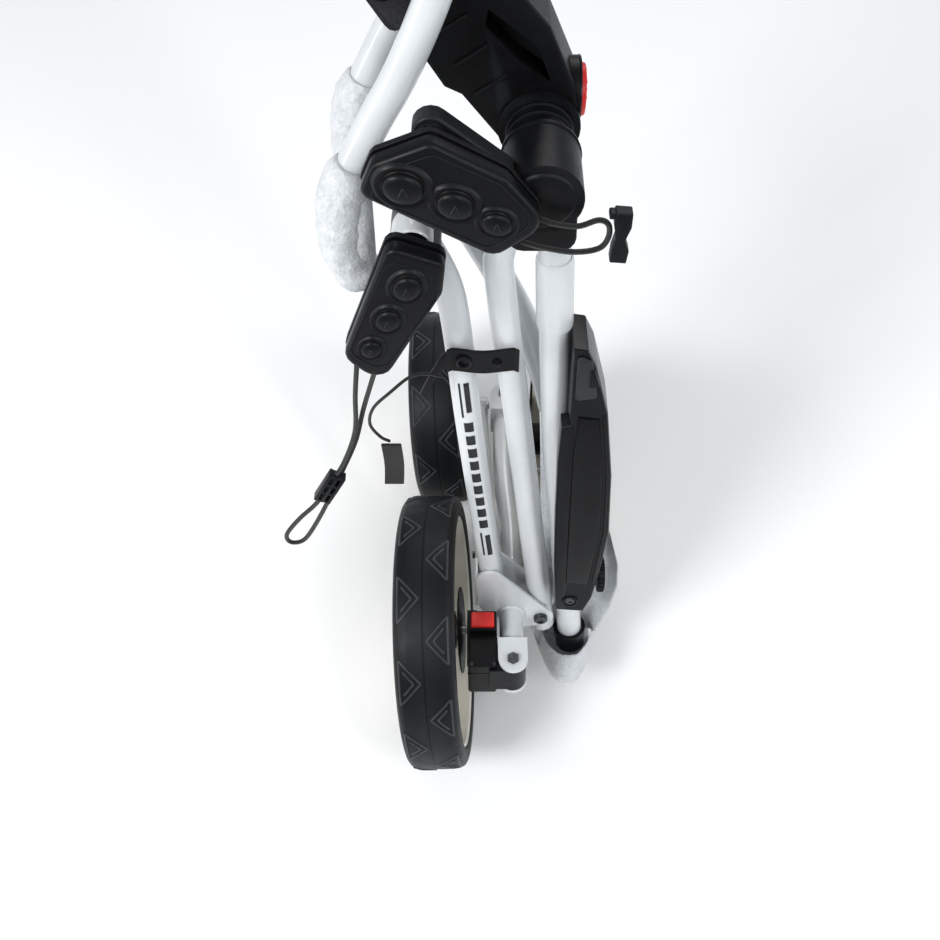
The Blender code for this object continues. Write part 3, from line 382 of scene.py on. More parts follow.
def polish(node, width=0.0009, mat=None, segments=3):
    """A copy of a CAD solid with its edges rounded, shown in its place."""
    src = frame["nodes"][node]
    me = src.data.copy()
    bm = bmesh.new()
    bm.from_mesh(me)
    bmesh.ops.remove_doubles(bm, verts=bm.verts, dist=2e-6)
    bmesh.ops.dissolve_limit(bm, angle_limit=math.radians(1.0), verts=bm.verts, edges=bm.edges)
    bmesh.ops.recalc_face_normals(bm, faces=bm.faces)
    bm.to_mesh(me)
    bm.free()
    ob = bpy.data.objects.new("fine_" + node, me)
    scene.collection.objects.link(ob)
    ob.data.materials.clear()
    ob.data.materials.append(MATS[mat or SLOT_MAT[NODE_SLOT[node]]])
    b = ob.modifiers.new("round", "BEVEL")
    b.width = width
    b.segments = segments
    b.limit_method = "ANGLE"
    b.angle_limit = math.radians(38)
    b.miter_outer = "MITER_ARC"
    ob.data.shade_smooth()
    ob.data.set_sharp_from_angle(angle=math.radians(180))
    w = ob.modifiers.new("normals", "WEIGHTED_NORMAL")
    w.keep_sharp = True
    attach(ob, NODE_BODY[node])
    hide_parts(node)
    return ob


def along(table, z):
    for (z0, x0), (z1, x1) in zip(table, table[1:]):
        if z <= z1:
            return x0 + (x1 - x0) * (z - z0) / (z1 - z0)
    return table[-1][1]


def smooth_path(points, per=8):
    pts = [Vector(p) for p in points]
    ext = [pts[0] * 2 - pts[1]] + pts + [pts[-1] * 2 - pts[-2]]
    out = []
    for i in range(1, len(ext) - 2):
        p0, p1, p2, p3 = ext[i - 1:i + 3]
        for k in range(per):
            t = k / per
            out.append(0.5 * ((2 * p1) + (p2 - p0) * t + (2 * p0 - 5 * p1 + 4 * p2 - p3) * t * t
                              + (3 * p1 - p0 - 3 * p2 + p3) * t ** 3))
    out.append(pts[-1])
    return out


def frames_along(pts):
    """Position, two cross directions and length so far at each point of a route."""
    main = (pts[-1] - pts[0]).normalized()
    side = Vector((1, 0, 0)) if abs(main.y) > 0.8 else Vector((0, -1, 0))
    out, run = [], 0.0
    for i, p in enumerate(pts):
        t = (pts[min(i + 1, len(pts) - 1)] - pts[max(i - 1, 0)]).normalized()
        s = (side - t * side.dot(t)).normalized()
        u = t.cross(s)
        if i:
            run += (p - pts[i - 1]).length
        out.append((p, s, u, run))
    return out


def tube_mesh(name, pts, radius, sides=40, caps=True, closed_tip=0.0, rad=None):
    """A round bar through the points. rad(i, n) may vary its radius; ends are rounded by closed_tip."""
    bm = bmesh.new()
    fr = frames_along(pts)
    rings = []
    n = len(fr)
    for i, (p, s, u, run) in enumerate(fr):
        r = rad(i / (n - 1), run) if rad else radius
        rings.append([bm.verts.new(p + s * (r * math.cos(2 * math.pi * k / sides)) + u * (r * math.sin(2 * math.pi * k / sides)))
                      for k in range(sides)])
    for a, b in zip(rings, rings[1:]):
        for k in range(sides):
            bm.faces.new((a[k], a[(k + 1) % sides], b[(k + 1) % sides], b[k]))
    if caps:
        for ring, t in ((rings[0], -1), (rings[-1], 1)):
            i = 0 if t < 0 else -1
            p, s, u, _ = fr[i]
            d = s.cross(u) * (1 if (fr[-1][0] - fr[0][0]).dot(s.cross(u)) > 0 else -1) * t
            if t < 0:
                d = (pts[0] - pts[1]).normalized()
            else:
                d = (pts[-1] - pts[-2]).normalized()
            last = ring
            rr = rad(0 if t < 0 else 1, fr[i][3]) if rad else radius
            if closed_tip:
                for q in range(1, 4):
                    ang = math.pi / 2 * q / 4
                    nr = rr - closed_tip * (1 - math.cos(ang))
                    nxt = [bm.verts.new(p + d * (closed_tip * math.sin(ang)) + s * (nr * math.cos(2 * math.pi * k / sides))
                                        + u * (nr * math.sin(2 * math.pi * k / sides))) for k in range(sides)]
                    for k in range(sides):
                        bm.faces.new((last[k], last[(k + 1) % sides], nxt[(k + 1) % sides], nxt[k]))
                    last = nxt
            bm.faces.new(last)
    return from_bm(name, bm)


def revolve(name, profile, steps=96, axis="x"):
    """A closed profile of (radius, station) turned about an axis, in cm."""
    bm = bmesh.new()
    rings = []
    for i in range(steps):
        a = 2 * math.pi * i / steps
        c, s = math.cos(a), math.sin(a)
        ring = []
        for r, st in profile:
            v = {"x": (st, r * c, r * s), "y": (r * c, st, r * s), "z": (r * c, r * s, st)}[axis]
            ring.append(bm.verts.new(v))
        rings.append(ring)
    n = len(profile)
    for i in range(steps):
        a, b = rings[i], rings[(i + 1) % steps]
        for k in range(n):
            bm.faces.new((a[k], a[(k + 1) % n], b[(k + 1) % n], b[k]))
    return from_bm(name, bm)


def lathe(name, profile, steps=48, axis="y"):
    """An open profile that starts and ends on the axis (radius 0)."""
    bm = bmesh.new()
    def at(r, st, a):
        c, s = math.cos(a), math.sin(a)
        return {"x": (st, r * c, r * s), "y": (r * c, st, r * s), "z": (r * c, r * s, st)}[axis]
    first = bm.verts.new(at(0, profile[0][1], 0))
    last = bm.verts.new(at(0, profile[-1][1], 0))
    rings = [[bm.verts.new(at(r, st, 2 * math.pi * i / steps)) for i in range(steps)] for r, st in profile[1:-1]]
    for i in range(steps):
        j = (i + 1) % steps
        bm.faces.new((first, rings[0][j], rings[0][i]))
        for a, b in zip(rings, rings[1:]):
            bm.faces.new((a[i], a[j], b[j], b[i]))
        bm.faces.new((rings[-1][i], rings[-1][j], last))
    return from_bm(name, bm)


def shift_mesh(ob, at, rot=None):
    m = Matrix.Translation(Vector(at))
    if rot is not None:
        m = m @ rot
    ob.data.transform(m)
    return ob


def hull_of_circles(circles, steps=14):
    pts = []
    for cx, cy, r in circles:
        for i in range(steps * 2):
            t = 2 * math.pi * i / (steps * 2)
            pts.append((cx + r * math.cos(t), cy + r * math.sin(t)))
    pts = sorted(set(pts))

    def half(seq):
        out = []
        for p in seq:
            while len(out) > 1 and ((out[-1][0] - out[-2][0]) * (p[1] - out[-2][1])
                                    - (out[-1][1] - out[-2][1]) * (p[0] - out[-2][0])) <= 1e-9:
                out.pop()
            out.append(p)
        return out[:-1]

    return half(pts) + half(reversed(pts))


def plate(name, outline, y0, y1, bevel=0.0, segments=3):
    """An outline in (x, z') drawn from y0 to y1, its rims rounded."""
    bm = bmesh.new()
    a = [bm.verts.new((x, y0, z)) for x, z in outline]
    b = [bm.verts.new((x, y1, z)) for x, z in outline]
    bm.faces.new(a)
    bm.faces.new(b[::-1])
    n = len(a)
    for k in range(n):
        bm.faces.new((a[k], b[k], b[(k + 1) % n], a[(k + 1) % n]))
    bmesh.ops.recalc_face_normals(bm, faces=bm.faces)
    if bevel:
        rims = [e for e in bm.edges if abs(e.verts[0].co.y - e.verts[1].co.y) < 1e-7]
        bmesh.ops.bevel(bm, geom=rims, offset=bevel, segments=segments, profile=0.5, affect="EDGES")
    return from_bm(name, bm)


def block(name, lo, hi, bevel=0.1, segments=3):
    bm = bmesh.new()
    bmesh.ops.create_cube(bm, size=1.0)
    lo, hi = Vector(lo), Vector(hi)
    for v in bm.verts:
        v.co = Vector([(lo[i] + hi[i]) / 2 + v.co[i] * (hi[i] - lo[i]) for i in range(3)])
    bmesh.ops.bevel(bm, geom=bm.edges[:], offset=bevel, segments=segments, profile=0.5, affect="EDGES")
    return from_bm(name, bm)


def join_meshes(name, obs):
    """Several pieces' meshes in one object, before place()."""
    bm = bmesh.new()
    for o in obs:
        bm.from_mesh(o.data)
        me = o.data
        bpy.data.objects.remove(o)
        bpy.data.meshes.remove(me)
    return from_bm(name, bm, recalc=False)


def screw(name, at, r, axis="y", sign=-1, body="upright", depth=0.18):
    """A domed screw head with a round recess in its top, its face towards sign along the axis."""
    prof = [(0, 0.0), (r * 0.98, 0.0), (r, depth * 0.25), (r * 0.92, depth * 0.7), (r * 0.7, depth * 0.95), (r * 0.46, depth),
            (r * 0.42, depth * 0.4), (0, depth * 0.4)]
    ob = lathe(name, [(a, b * sign) for a, b in prof], 30, axis)
    bm = bmesh.new()
    bm.from_mesh(ob.data)
    bmesh.ops.recalc_face_normals(bm, faces=bm.faces)
    bm.to_mesh(ob.data)
    bm.free()
    shift_mesh(ob, at)
    return place(ob, "bolt", body)


def hub_frame(hub, camber):
    return Matrix.Translation((SHIFT + Vector(hub)) * CM) @ Matrix.Rotation(camber, 4, "Y")


# ------------------------------------------------------------------ cords, first because their spread is checked
def cord_piece(name, points, radius, node, body, per):
    pts = [LEANING @ (p * CM) for p in smooth_path(points, per)]
    cu = bpy.data.curves.new(name, "CURVE")
    cu.dimensions = "3D"
    cu.bevel_depth = radius * CM
    cu.bevel_resolution = 6
    cu.use_fill_caps = True
    sp = cu.splines.new("POLY")
    sp.points.add(len(pts) - 1)
    for a, q in zip(sp.points, pts):
        a.co = (*q, 1.0)
    sp.use_smooth = True
    ob = bpy.data.objects.new(name, cu)
    scene.collection.objects.link(ob)
    cu.materials.append(MATS["elastic"])
    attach(ob, body)
    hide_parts(node)
    return ob


UPPER_CORD = [(4.62, -7.4, 58.9), (5.6, -7.4, 58.5), (7.2, -7.3, 58.2), (8.55, -7.3, 58.7), (9.25, -7.3, 58.3),
              (9.3, -7.3, 57.2), (8.7, -7.3, 56.3), (7.0, -7.4, 56.1), (4.9, -7.4, 56.5), (3.45, -7.4, 57.0)]
LOWER_CORD = [(-8.75, -5.4, 43.35), (-9.1, -5.5, 40.0), (-9.4, -5.6, 36.0), (-10.6, -5.7, 32.2), (-11.8, -5.7, 29.8),
              (-13.4, -5.7, 26.8), (-15.2, -5.6, 24.4), (-16.6, -5.5, 22.0), (-16.4, -5.4, 20.7), (-15.2, -5.4, 21.0),
              (-13.9, -5.5, 23.4), (-12.3, -5.6, 27.2), (-10.9, -5.3, 30.6), (-9.5, -5.0, 34.2), (-8.6, -4.9, 38.0),
              (-7.4, -5.2, 42.55)]
LOOP = [(-2.25, -1.62, 38.3), (-3.6, -1.6, 38.6), (-5.0, -1.6, 38.2), (-6.6, -1.7, 36.6), (-8.2, -1.7, 34.6),
        (-8.6, -1.7, 32.6), (-7.8, -1.7, 31.0), (-7.0, -1.7, 30.4)]

hook_out = [(9.62, 55.5), (10.06, 55.4), (10.1, 56.4), (9.98, 57.4), (10.1, 58.4), (10.1, 59.5), (9.66, 59.6), (9.64, 58.6),
            (9.72, 57.5), (9.64, 56.5)]
hook = plate("upper_hook_body", [(9.5 + (x - 9.62) * 2.6, z) for x, z in hook_out], -7.85, -6.8, 0.12)
soften(hook, 0.0006)
place(hook, "black_plastic", "upper_pad")
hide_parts("upper_hook")
hook_lip = block("upper_hook_lip", (9.2, -7.75, 59.05), (9.75, -6.9, 59.5), 0.12)
place(hook_lip, "black_plastic", "upper_pad")
adj = []
for dx in (-0.62, 0.0, 0.62):
    adj.append(block("bar", (-12.1 + dx * 0.95 - 0.16, -6.15, 27.2), (-12.1 + dx * 0.95 + 0.16, -5.25, 30.9), 0.1, 2))
for dz in (27.2, 28.3, 29.4, 30.6):
    adj.append(block("bar", (-12.8, -6.1, dz), (-11.4, -5.3, dz + 0.3), 0.1, 2))
adjuster = join_meshes("cord_adjuster", adj)
shift_mesh(adjuster, (-12.05, -5.7, 29.05), Matrix.Rotation(math.radians(27), 4, "Y") @ Matrix.Translation((12.1, 5.7, -29.1)))
adjuster.data.transform(Matrix.Identity(4))
place(adjuster, "black_plastic", "lower_pad")
cord_piece("upper_bungee_cord", UPPER_CORD, 0.2, "upper_bungee", "upper_pad", 8)
cord_piece("lower_bungee_cord", LOWER_CORD, 0.2, "lower_bungee", "lower_pad", 6)

tab = block("loop_tab", (-7.75, -1.84, 24.8), (-6.0, -1.56, 30.25), 0.06, 2)
bm = bmesh.new()
bm.from_mesh(tab.data)
bmesh.ops.subdivide_edges(bm, edges=bm.edges, cuts=4, use_grid_fill=True)
for v in bm.verts:
    v.co.y += 0.12 * math.sin((v.co.z - 24.8) * 0.9) - 0.1
    v.co.x += 0.12 * math.sin((v.co.z - 24.8) * 0.6)
bm.to_mesh(tab.data)
bm.free()
place(tab, "webbing", "chassis")
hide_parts("small_loop_tab")
cord_piece("small_loop_cord", LOOP, 0.14, "small_loop", "chassis", 8)


# ------------------------------------------------------------------ wheels
def tyre_profile(R, w):
    """Outer surface of a tyre section with a fine centre groove and two shoulder grooves."""
    ri = R - 2.11
    out = [(ri, -w + 0.3), (R - 1.9, -w + 0.06), (R - 1.45, -w - 0.0), (R - 1.4, -w + 0.05), (R - 1.33, -w + 0.0), (R - 1.0, -w + 0.02),
           (R - 0.62, -w + 0.14), (R - 0.36, -w + 0.32), (R - 0.2, -w + 0.58), (R - 0.1, -w + 0.85), (R - 0.1, -w + 0.9),
           (R - 0.04, -w + 1.2), (R - 0.012, -w + 1.5), (R, -0.1), (R - 0.05, -0.05), (R - 0.05, 0.05), (R, 0.1)]
    half = [(r, -s) for r, s in out[:-4][::-1]]
    return out + half


def tread_marks(name, R, w, body, frame_m, count):
    """Outlined triangles and chevrons, two staggered rows round the tread, each a fine raised ridge."""
    bm = bmesh.new()
    rr = 0.1

    def ridge(pts):
        fr = []
        for s, a in pts:
            rad = R - along([(0.0, 0.0), (1.5, 0.012), (1.8, 0.04), (2.1, 0.1), (2.42, 0.2), (2.68, 0.36), (2.86, 0.62)], abs(s))
            fr.append((Vector((s, rad * math.cos(a), rad * math.sin(a))), Vector((0, math.cos(a), math.sin(a)))))
        rings = []
        for i, (p, nrm) in enumerate(fr):
            t = (fr[min(i + 1, len(fr) - 1)][0] - fr[max(i - 1, 0)][0]).normalized()
            side = nrm.cross(t).normalized()
            rings.append([bm.verts.new(p + side * (rr * 1.25) - nrm * 0.03), bm.verts.new(p + side * (rr * 0.6) + nrm * rr),
                          bm.verts.new(p - side * (rr * 0.6) + nrm * rr), bm.verts.new(p - side * (rr * 1.25) - nrm * 0.03)])
        for a, b in zip(rings, rings[1:]):
            for k in range(4):
                bm.faces.new((a[k], a[(k + 1) % 4], b[(k + 1) % 4], b[k]))
        bm.faces.new(rings[0])
        bm.faces.new(rings[-1][::-1])

    def line(p, q, n=5):
        return [(p[0] + (q[0] - p[0]) * i / n, p[1] + (q[1] - p[1]) * i / n) for i in range(n + 1)]

    for row, sgn in ((0, -1), (1, 1)):
        for k in range(count):
            a0 = 2 * math.pi * (k + 0.5 * row) / count
            h = 2.3 / R                                   # half height round the tread
            x_tip, x_base = sgn * 0.35, sgn * 2.4
            # outer triangle, its point towards the middle of the tread
            for p, q in (((x_base, a0 - h), (x_tip, a0)), ((x_tip, a0), (x_base, a0 + h)), ((x_base, a0 + h), (x_base, a0 - h))):
                ridge(line(p, q))
            # inner chevron
            i = 0.52
            xb = x_base + (x_tip - x_base) * 0.18
            xt = x_base + (x_tip - x_base) * 0.66
            for p, q in (((xb, a0 - h * i), (xt, a0)), ((xt, a0), (xb, a0 + h * i))):
                ridge(line(p, q))
    ob = from_bm(name, bm)
    return place(ob, "tyre", body, frame_m, 40)


def wheel(side, hub, camber, R, inward, body, marks):
    fm = hub_frame(hub, camber)
    w = WHEEL_W / 2
    t = revolve("tyre_skin_" + side, tyre_profile(R - 0.09, w), 144)
    place(t, "tyre", body, fm, 28)
    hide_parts("tyre_" + side)
    tread_marks("tread_marks_" + side, R - 0.09, w, body, fm, marks)
    r0, a, d = R - 2.2 - 0.04, inward, 0.4
    p = [(r0, -w + 0.35), (r0, w - 0.35), (r0 - 0.12, w - 0.22), (r0 - 0.35, w - 0.22), (r0 - 0.5, w - 0.42), (r0 - 0.55, w - 1.2),
         (r0 - 0.62, 0.9), (r0 - 0.85, 0.62), (r0 - 1.3, 0.52 + d * 0.2), (6.0, 0.52 + d * 0.7), (3.0, 0.5 + d), (2.45, 0.7 + d), (2.2, 1.0 + d),
         (2.15, w - 1.25), (2.0, w - 1.02), (1.75, w - 0.98), (0.62, w - 0.98), (0.56, w - 1.05), (0.56, -w + 1.45), (0.62, -w + 1.38), (2.0, -w + 1.38),
         (2.15, -w + 1.6), (2.25, -0.5 + d), (2.6, 0.0 + d), (6.0, 0.05 + d * 0.6), (r0 - 1.3, 0.02), (r0 - 0.8, -0.1), (r0 - 0.6, -0.45),
         (r0 - 0.55, -w + 1.2), (r0 - 0.5, -w + 0.42), (r0 - 0.35, -w + 0.22), (r0 - 0.12, -w + 0.22)]
    rim = revolve("rim_shell_" + side, [(r, s * a) for r, s in p], 120)
    place(rim, "rim", body, fm, 32)
    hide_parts("rim_" + side)
    # stiffening ribs on both sides of the web
    bits = []
    for k in range(10):
        ang = 2 * math.pi * (k + 0.3) / 10
        for s0, s1, r1 in ((0.5, 1.5, r0 - 0.6), (-0.9, 0.2, r0 - 0.6)):
            bm = bmesh.new()
            pr = [(2.2, s0 - 0.1), (2.2, s1 + 0.25), (5.0, s1), (r1 - 1.0, s0 + 0.42), (r1, s0 + 0.5), (r1, s0 - 0.1)]
            if s0 < 0:
                pr = [(2.2, s1 + 0.3), (2.2, s0 - 0.25), (5.0, s0), (r1 - 1.0, s1 - 0.5), (r1, s1 - 0.55), (r1, s1 - 0.1)]
            th = 0.16
            va = [bm.verts.new((s * a, r, -th)) for r, s in pr]
            vb = [bm.verts.new((s * a, r, th)) for r, s in pr]
            bm.faces.new(va)
            bm.faces.new(vb[::-1])
            for i in range(len(pr)):
                j = (i + 1) % len(pr)
                bm.faces.new((va[i], vb[i], vb[j], va[j]))
            bmesh.ops.recalc_face_normals(bm, faces=bm.faces)
            bmesh.ops.bevel(bm, geom=bm.edges[:], offset=0.05, segments=2, profile=0.5, affect="EDGES")
            bmesh.ops.rotate(bm, cent=(0, 0, 0), matrix=Matrix.Rotation(ang, 3, "X"), verts=bm.verts)
            bits.append(from_bm("rib", bm))
    ribs = join_meshes("rim_ribs_" + side, bits)
    place(ribs, "rim", body, fm, 40)


wheel("left", LEFT_WHEEL, CAMBER, REAR_R, 1, "left_wheel", 11)
wheel("right", RIGHT_WHEEL, 0.0, REAR_R, -1, "right_wheel", 11)
wheel("front", FRONT_WHEEL, CAMBER, FRONT_R, 1, "front_wheel", 9)

# ------------------------------------------------------------------ painted tubes
REAR_ROUTE = [(2.25, 0, 7.6), (2.0, 0, 10.5), (0.0, 0, 30.0), (-1.0, 0, 41.5), (-1.7, 0, 46.5), (-3.0, 0, 50.0), (-4.1, 0, 52.0)]
UP_ROUTE = [(7.85, 0, -0.6), (7.4, 0, 3.2), (3.9, 0, 33.8), (2.35, 0, 47.0), (2.25, 0, 50.0), (3.0, 0, 52.6), (3.6, 0, 54.57)]
C_ROUTE = [(6.2, 0.3, 54.57), (7.1, 0.3, 38.0), (7.9, 0.3, 27.0), (9.1, 0.3, 15.0), (10.2, 0.3, 4.0), (11.0, 0.3, -4.0)]
LINK_ROUTE = [(-2.3, 3.1, 53.0), (-0.4, 3.1, 50.6), (2.2, 3.1, 45.5), (4.4, 3.1, 40.5), (6.3, 3.1, 34.4), (7.3, 3.1, 30.0)]
NEAR = [(-1.1, -1.0, 75.6), (-1.9, -1.0, 72.2), (-3.0, -1.0, 69.2), (-4.7, -1.0, 65.4), (-6.8, -1.0, 61.5), (-8.9, -1.0, 56.8),
        (-9.4, -1.0, 52.4), (-8.3, -1.0, 48.6)]
FAR = [(x + 0.2, y + 10.9, z) for x, y, z in NEAR]


def painted(name, route, r, node, body, per=14, tip=0.12):
    ob = tube_mesh(name, smooth_path(route, per), r, 40, True, tip)
    place(ob, "frame_paint", body, smooth=50)
    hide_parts(node)
    return ob


painted("rear_tube_skin", REAR_ROUTE, TUBE_R, "rear_frame_tube", "chassis")
painted("upright_tube_skin", UP_ROUTE, TUBE_R, "upright_tube", "upright")
painted("battery_tube_skin", C_ROUTE, 1.3, "battery_tube", "upright")
painted("cross_link_skin", LINK_ROUTE, TUBE_R, "cross_link", "upright", tip=0.5)
painted("grip_tube_near_skin", NEAR, TUBE_R, "grip_tube_near", "handle", tip=0.3)
painted("grip_tube_far_skin", FAR, TUBE_R, "grip_tube_far", "handle", tip=0.3)
painted("leg_left_skin", [(4.3, -5.77, 3.2), (4.3, -1.63, 3.2)], 1.25, "leg_left", "chassis", tip=0.04)
painted("leg_right_skin", [(4.5, 1.63, 3.2), (4.5, 9.0, 3.2), (4.0, 17.0, 3.2), (4.0, 25.87, 3.2)], 1.25, "leg_right", "chassis", tip=0.04)

# weld beads where the leg meets the bracket and the clevis
for nm, y in (("weld_leg_root", -1.66), ("weld_leg_end", -5.74)):
    prof = [(1.22, -0.16), (1.34, -0.17), (1.47, -0.06), (1.5, 0.0), (1.47, 0.06), (1.34, 0.17), (1.22, 0.16)]
    w = revolve(nm, prof, 64, "y")
    for v in w.data.vertices:
        a = math.atan2(v.co.z, v.co.x)
        r = math.hypot(v.co.x, v.co.z)
        k = 1 + 0.018 * math.sin(a * 26) * (r - 1.2) / 0.3
        v.co.x *= k
        v.co.z *= k
    shift_mesh(w, (4.3, y + (-0.02 if y > -3 else 0.02), 3.2))
    place(w, "frame_paint", "chassis")


def decal(name, route, t0, t1, a0, a1, body, lift=0.025, r=TUBE_R, mat="ink"):
    """A printed patch that follows a tube, from length t0 to t1 and angle a0 to a1 (0 faces the front)."""
    pts = smooth_path(route, 14)
    fr = frames_along(pts)

    def at(t):
        for (p, s, u, r0), (q, s1, u1, r1) in zip(fr, fr[1:]):
            if t <= r1:
                f = (t - r0) / max(1e-9, r1 - r0)
                return p.lerp(q, f), s.lerp(s1, f).normalized(), u.lerp(u1, f).normalized()
        return fr[-1][:3]

    bm = bmesh.new()
    nt, na = 8, 8
    g = []
    for i in range(nt + 1):
        p, s, u = at(t0 + (t1 - t0) * i / nt)
        g.append([bm.verts.new(p + (s * math.cos(a) + u * math.sin(a)) * (r + lift))
                  for a in [math.radians(a0 + (a1 - a0) * k / na) for k in range(na + 1)]])
    for a, b in zip(g, g[1:]):
        for k in range(na):
            bm.faces.new((a[k], a[k + 1], b[k + 1], b[k]))
    ob = from_bm(name, bm)
    sol = ob.modifiers.new("film", "SOLIDIFY")
    sol.thickness = 0.00012
    sol.offset = 0
    return place(ob, mat, body, smooth=60)


# plain printed stripes on the rear tube: a long bar and hairline at each end, a ladder of blocks between
L_TOT = frames_along(smooth_path(REAR_ROUTE, 14))[-1][3]
decal("stripe_low_bar", REAR_ROUTE, 5.4, 8.6, 2, 24, "chassis")
decal("stripe_low_line", REAR_ROUTE, 5.4, 9.0, -20, -12, "chassis")
decal("stripe_high_bar", REAR_ROUTE, 26.0, 29.6, 2, 24, "chassis")
decal("stripe_high_line", REAR_ROUTE, 25.4, 29.6, -20, -12, "chassis")
for k in range(9):
    t = 9.8 + k * 1.72
    decal("stripe_block_%d" % k, REAR_ROUTE, t, t + 1.15, -16, 22, "chassis")

# ------------------------------------------------------------------ hard parts with rounded edges
for node, width in (("fold_bracket", 0.0006), ("clevis_left", 0.0006), ("clevis_right", 0.0006), ("front_arm", 0.0008),
                    ("drive_case_left", 0.0008), ("drive_case_right", 0.0008), ("release_button_left", 0.0006),
                    ("release_button_right", 0.0006), ("dust_disc_left", 0.0005), ("dust_disc_right", 0.0005),
                    ("fold_bolt", 0.0005), ("clevis_pin_left", 0.0005), ("clevis_pin_right", 0.0005), ("front_arm_pin", 0.0004),
                    ("axle_left", 0.0005), ("axle_right", 0.0005), ("axle_front", 0.0005), ("frame_strap", 0.0006),
                    ("lower_pad_clamp", 0.0012), ("upper_pad_arm", 0.0012), ("tube_foot", 0.0015), ("battery_case", 0.0012),
                    ("hinge_lower_housing", 0.0014), ("handle_link", 0.0016), ("hinge_collar", 0.001), ("console", 0.0015),
                    ("charge_knob", 0.001), ("speed_dial", 0.001), ("handle_release", 0.0012), ("upper_pad_back", 0.0008),
                    ("lower_pad_back", 0.0008), ("upper_pad_screw", 0.0004), ("lower_pad_screw", 0.0004)):
    polish(node, width, "bolt" if node.startswith(("clevis_pin", "fold_bolt", "front_arm_pin")) else None)
polish("grip_wrap", 0.002, "leather")

# details on the hinge: rings on the collar, a face disc and a seam ring on the housing, a rim round the red release
HX, HZ = 4.9, 59.6
for i, (y, r) in enumerate(((0.35, 2.34), (1.35, 2.34))):
    ring = revolve("collar_ring_%d" % i, [(r - 0.06, -0.1), (r + 0.05, -0.08), (r + 0.09, 0), (r + 0.05, 0.08), (r - 0.06, 0.1)], 72, "y")
    shift_mesh(ring, (HX, y, HZ))
    place(ring, "black_plastic", "handle")
face = lathe("housing_face", [(0, -0.14), (1.2, -0.16), (1.9, -0.2), (2.1, -0.12), (2.2, 0.0), (2.2, 0.1), (0, 0.1)], 64, "y")
shift_mesh(face, (HX, -6.42, HZ))
place(face, "black_plastic", "upright")
seam = revolve("housing_seam", [(2.74, -0.06), (2.8, -0.05), (2.83, 0), (2.8, 0.05), (2.74, 0.06)], 80, "y")
shift_mesh(seam, (HX, -1.5, HZ))
place(seam, "gloss_black", "upright")
rimr = revolve("release_bezel", [(2.05, -0.1), (2.32, -0.1), (2.4, 0.0), (2.32, 0.12), (2.12, 0.14), (2.05, 0.05)], 72, "x")
shift_mesh(rimr, (7.72, 4.7, 61.0))
place(rimr, "gloss_black", "handle")
grip_lines = []
for k in range(5):
    grip_lines.append(block("b", (8.14, 4.7 - 1.2 + 0.2 * abs(k - 2), 61.0 + (k - 2) * 0.5 - 0.09),
                            (8.28, 4.7 + 1.2 - 0.2 * abs(k - 2), 61.0 + (k - 2) * 0.5 + 0.09), 0.05, 2))
place(join_meshes("release_grip", grip_lines), "red_plastic", "handle_button")

# console: a sloping display window with a frame, and a lip round the body
panel = plate("console_panel", hull_of_circles([(-5.3, 71.6, 0.5), (-0.6, 73.9, 0.5), (-3.6, 76.9, 0.6), (-6.8, 75.2, 0.6)]), 0.62, 0.42, 0.08)
place(panel, "black_plastic", "handle")

def on_console(name, half, y0, y1, out, thick, mat, body="handle", slide=0.0, bev=0.08):
    """A plate lying on the console's sloping top, which rises at 44 degrees."""
    ob = block(name, (-half + slide, y0, out), (half + slide, y1, out + thick), bev)
    shift_mesh(ob, (-0.85, 0, 76.6), Matrix.Rotation(math.radians(44.3), 4, "Y"))
    return place(ob, mat, body)


on_console("console_bezel", 2.05, 1.3, 7.9, -0.1, 0.2, "black_plastic", bev=0.09)
on_console("console_screen", 1.35, 2.0, 7.2, 0.05, 0.12, "gloss_black", slide=-0.35, bev=0.05)
for i in range(3):
    on_console("console_key_%d" % i, 0.26, 2.3 + i * 1.75, 3.4 + i * 1.75, 0.07, 0.12, "clip", slide=1.45, bev=0.05)
for y0, nm in ((0.52, "near"), (8.52, "far")):
    rim_out = hull_of_circles([(-5.4, 71.0, 0.72), (0.2, 73.9, 0.72), (-3.6, 77.6, 1.0), (-7.4, 75.5, 1.0)])
    edge = tube_mesh("console_edge_" + nm, [Vector((x, y0 + 0.08, z)) for x, z in rim_out + rim_out[:1]], 0.11, 10, False)
    place(edge, "black_plastic", "handle", smooth=70)

# link: recessed side ribs
for k, (x, z) in enumerate(((-2.4, 66.6), (-1.0, 64.4), (0.4, 62.2))):
    r = block("link_rib_%d" % k, (x - 0.1, 2.12, z - 0.1), (x + 2.6, 2.36, z + 0.12), 0.08, 2)
    shift_mesh(r, (x, 0, z), Matrix.Rotation(math.radians(-33), 4, "Y") @ Matrix.Translation((-x, 0, -z)))
    place(r, "black_plastic", "handle")

# drive unit: case seam and corner screws
for side, px, py, f, b in (("left", 4.3, -8.4, -1, (1.55, 4.5)), ("right", 4.0, 28.5, 1, (1.55, 2.75))):
    body = side + "_drive"
    x0, x1 = sorted((px + f * b[0], px + f * b[1]))
    y0, y1 = sorted((py + f * -5.4, py + f * 0.9))
    s = block("case_seam_" + side, (x0 - 0.03, y0 - 0.03, 3.9), (x1 + 0.03, y1 + 0.03, 4.02), 0.03, 2)
    place(s, "gloss_black", body)
    for k, (sx, sy) in enumerate(((x0 + 0.35, y0 + 0.3 if f < 0 else y1 - 0.3), (x1 - 0.35, y0 + 0.3 if f < 0 else y1 - 0.3))):
        screw("case_screw_%s_%d" % (side, k), (sx, sy, 5.38), 0.2, "z", 1, body, 0.1)

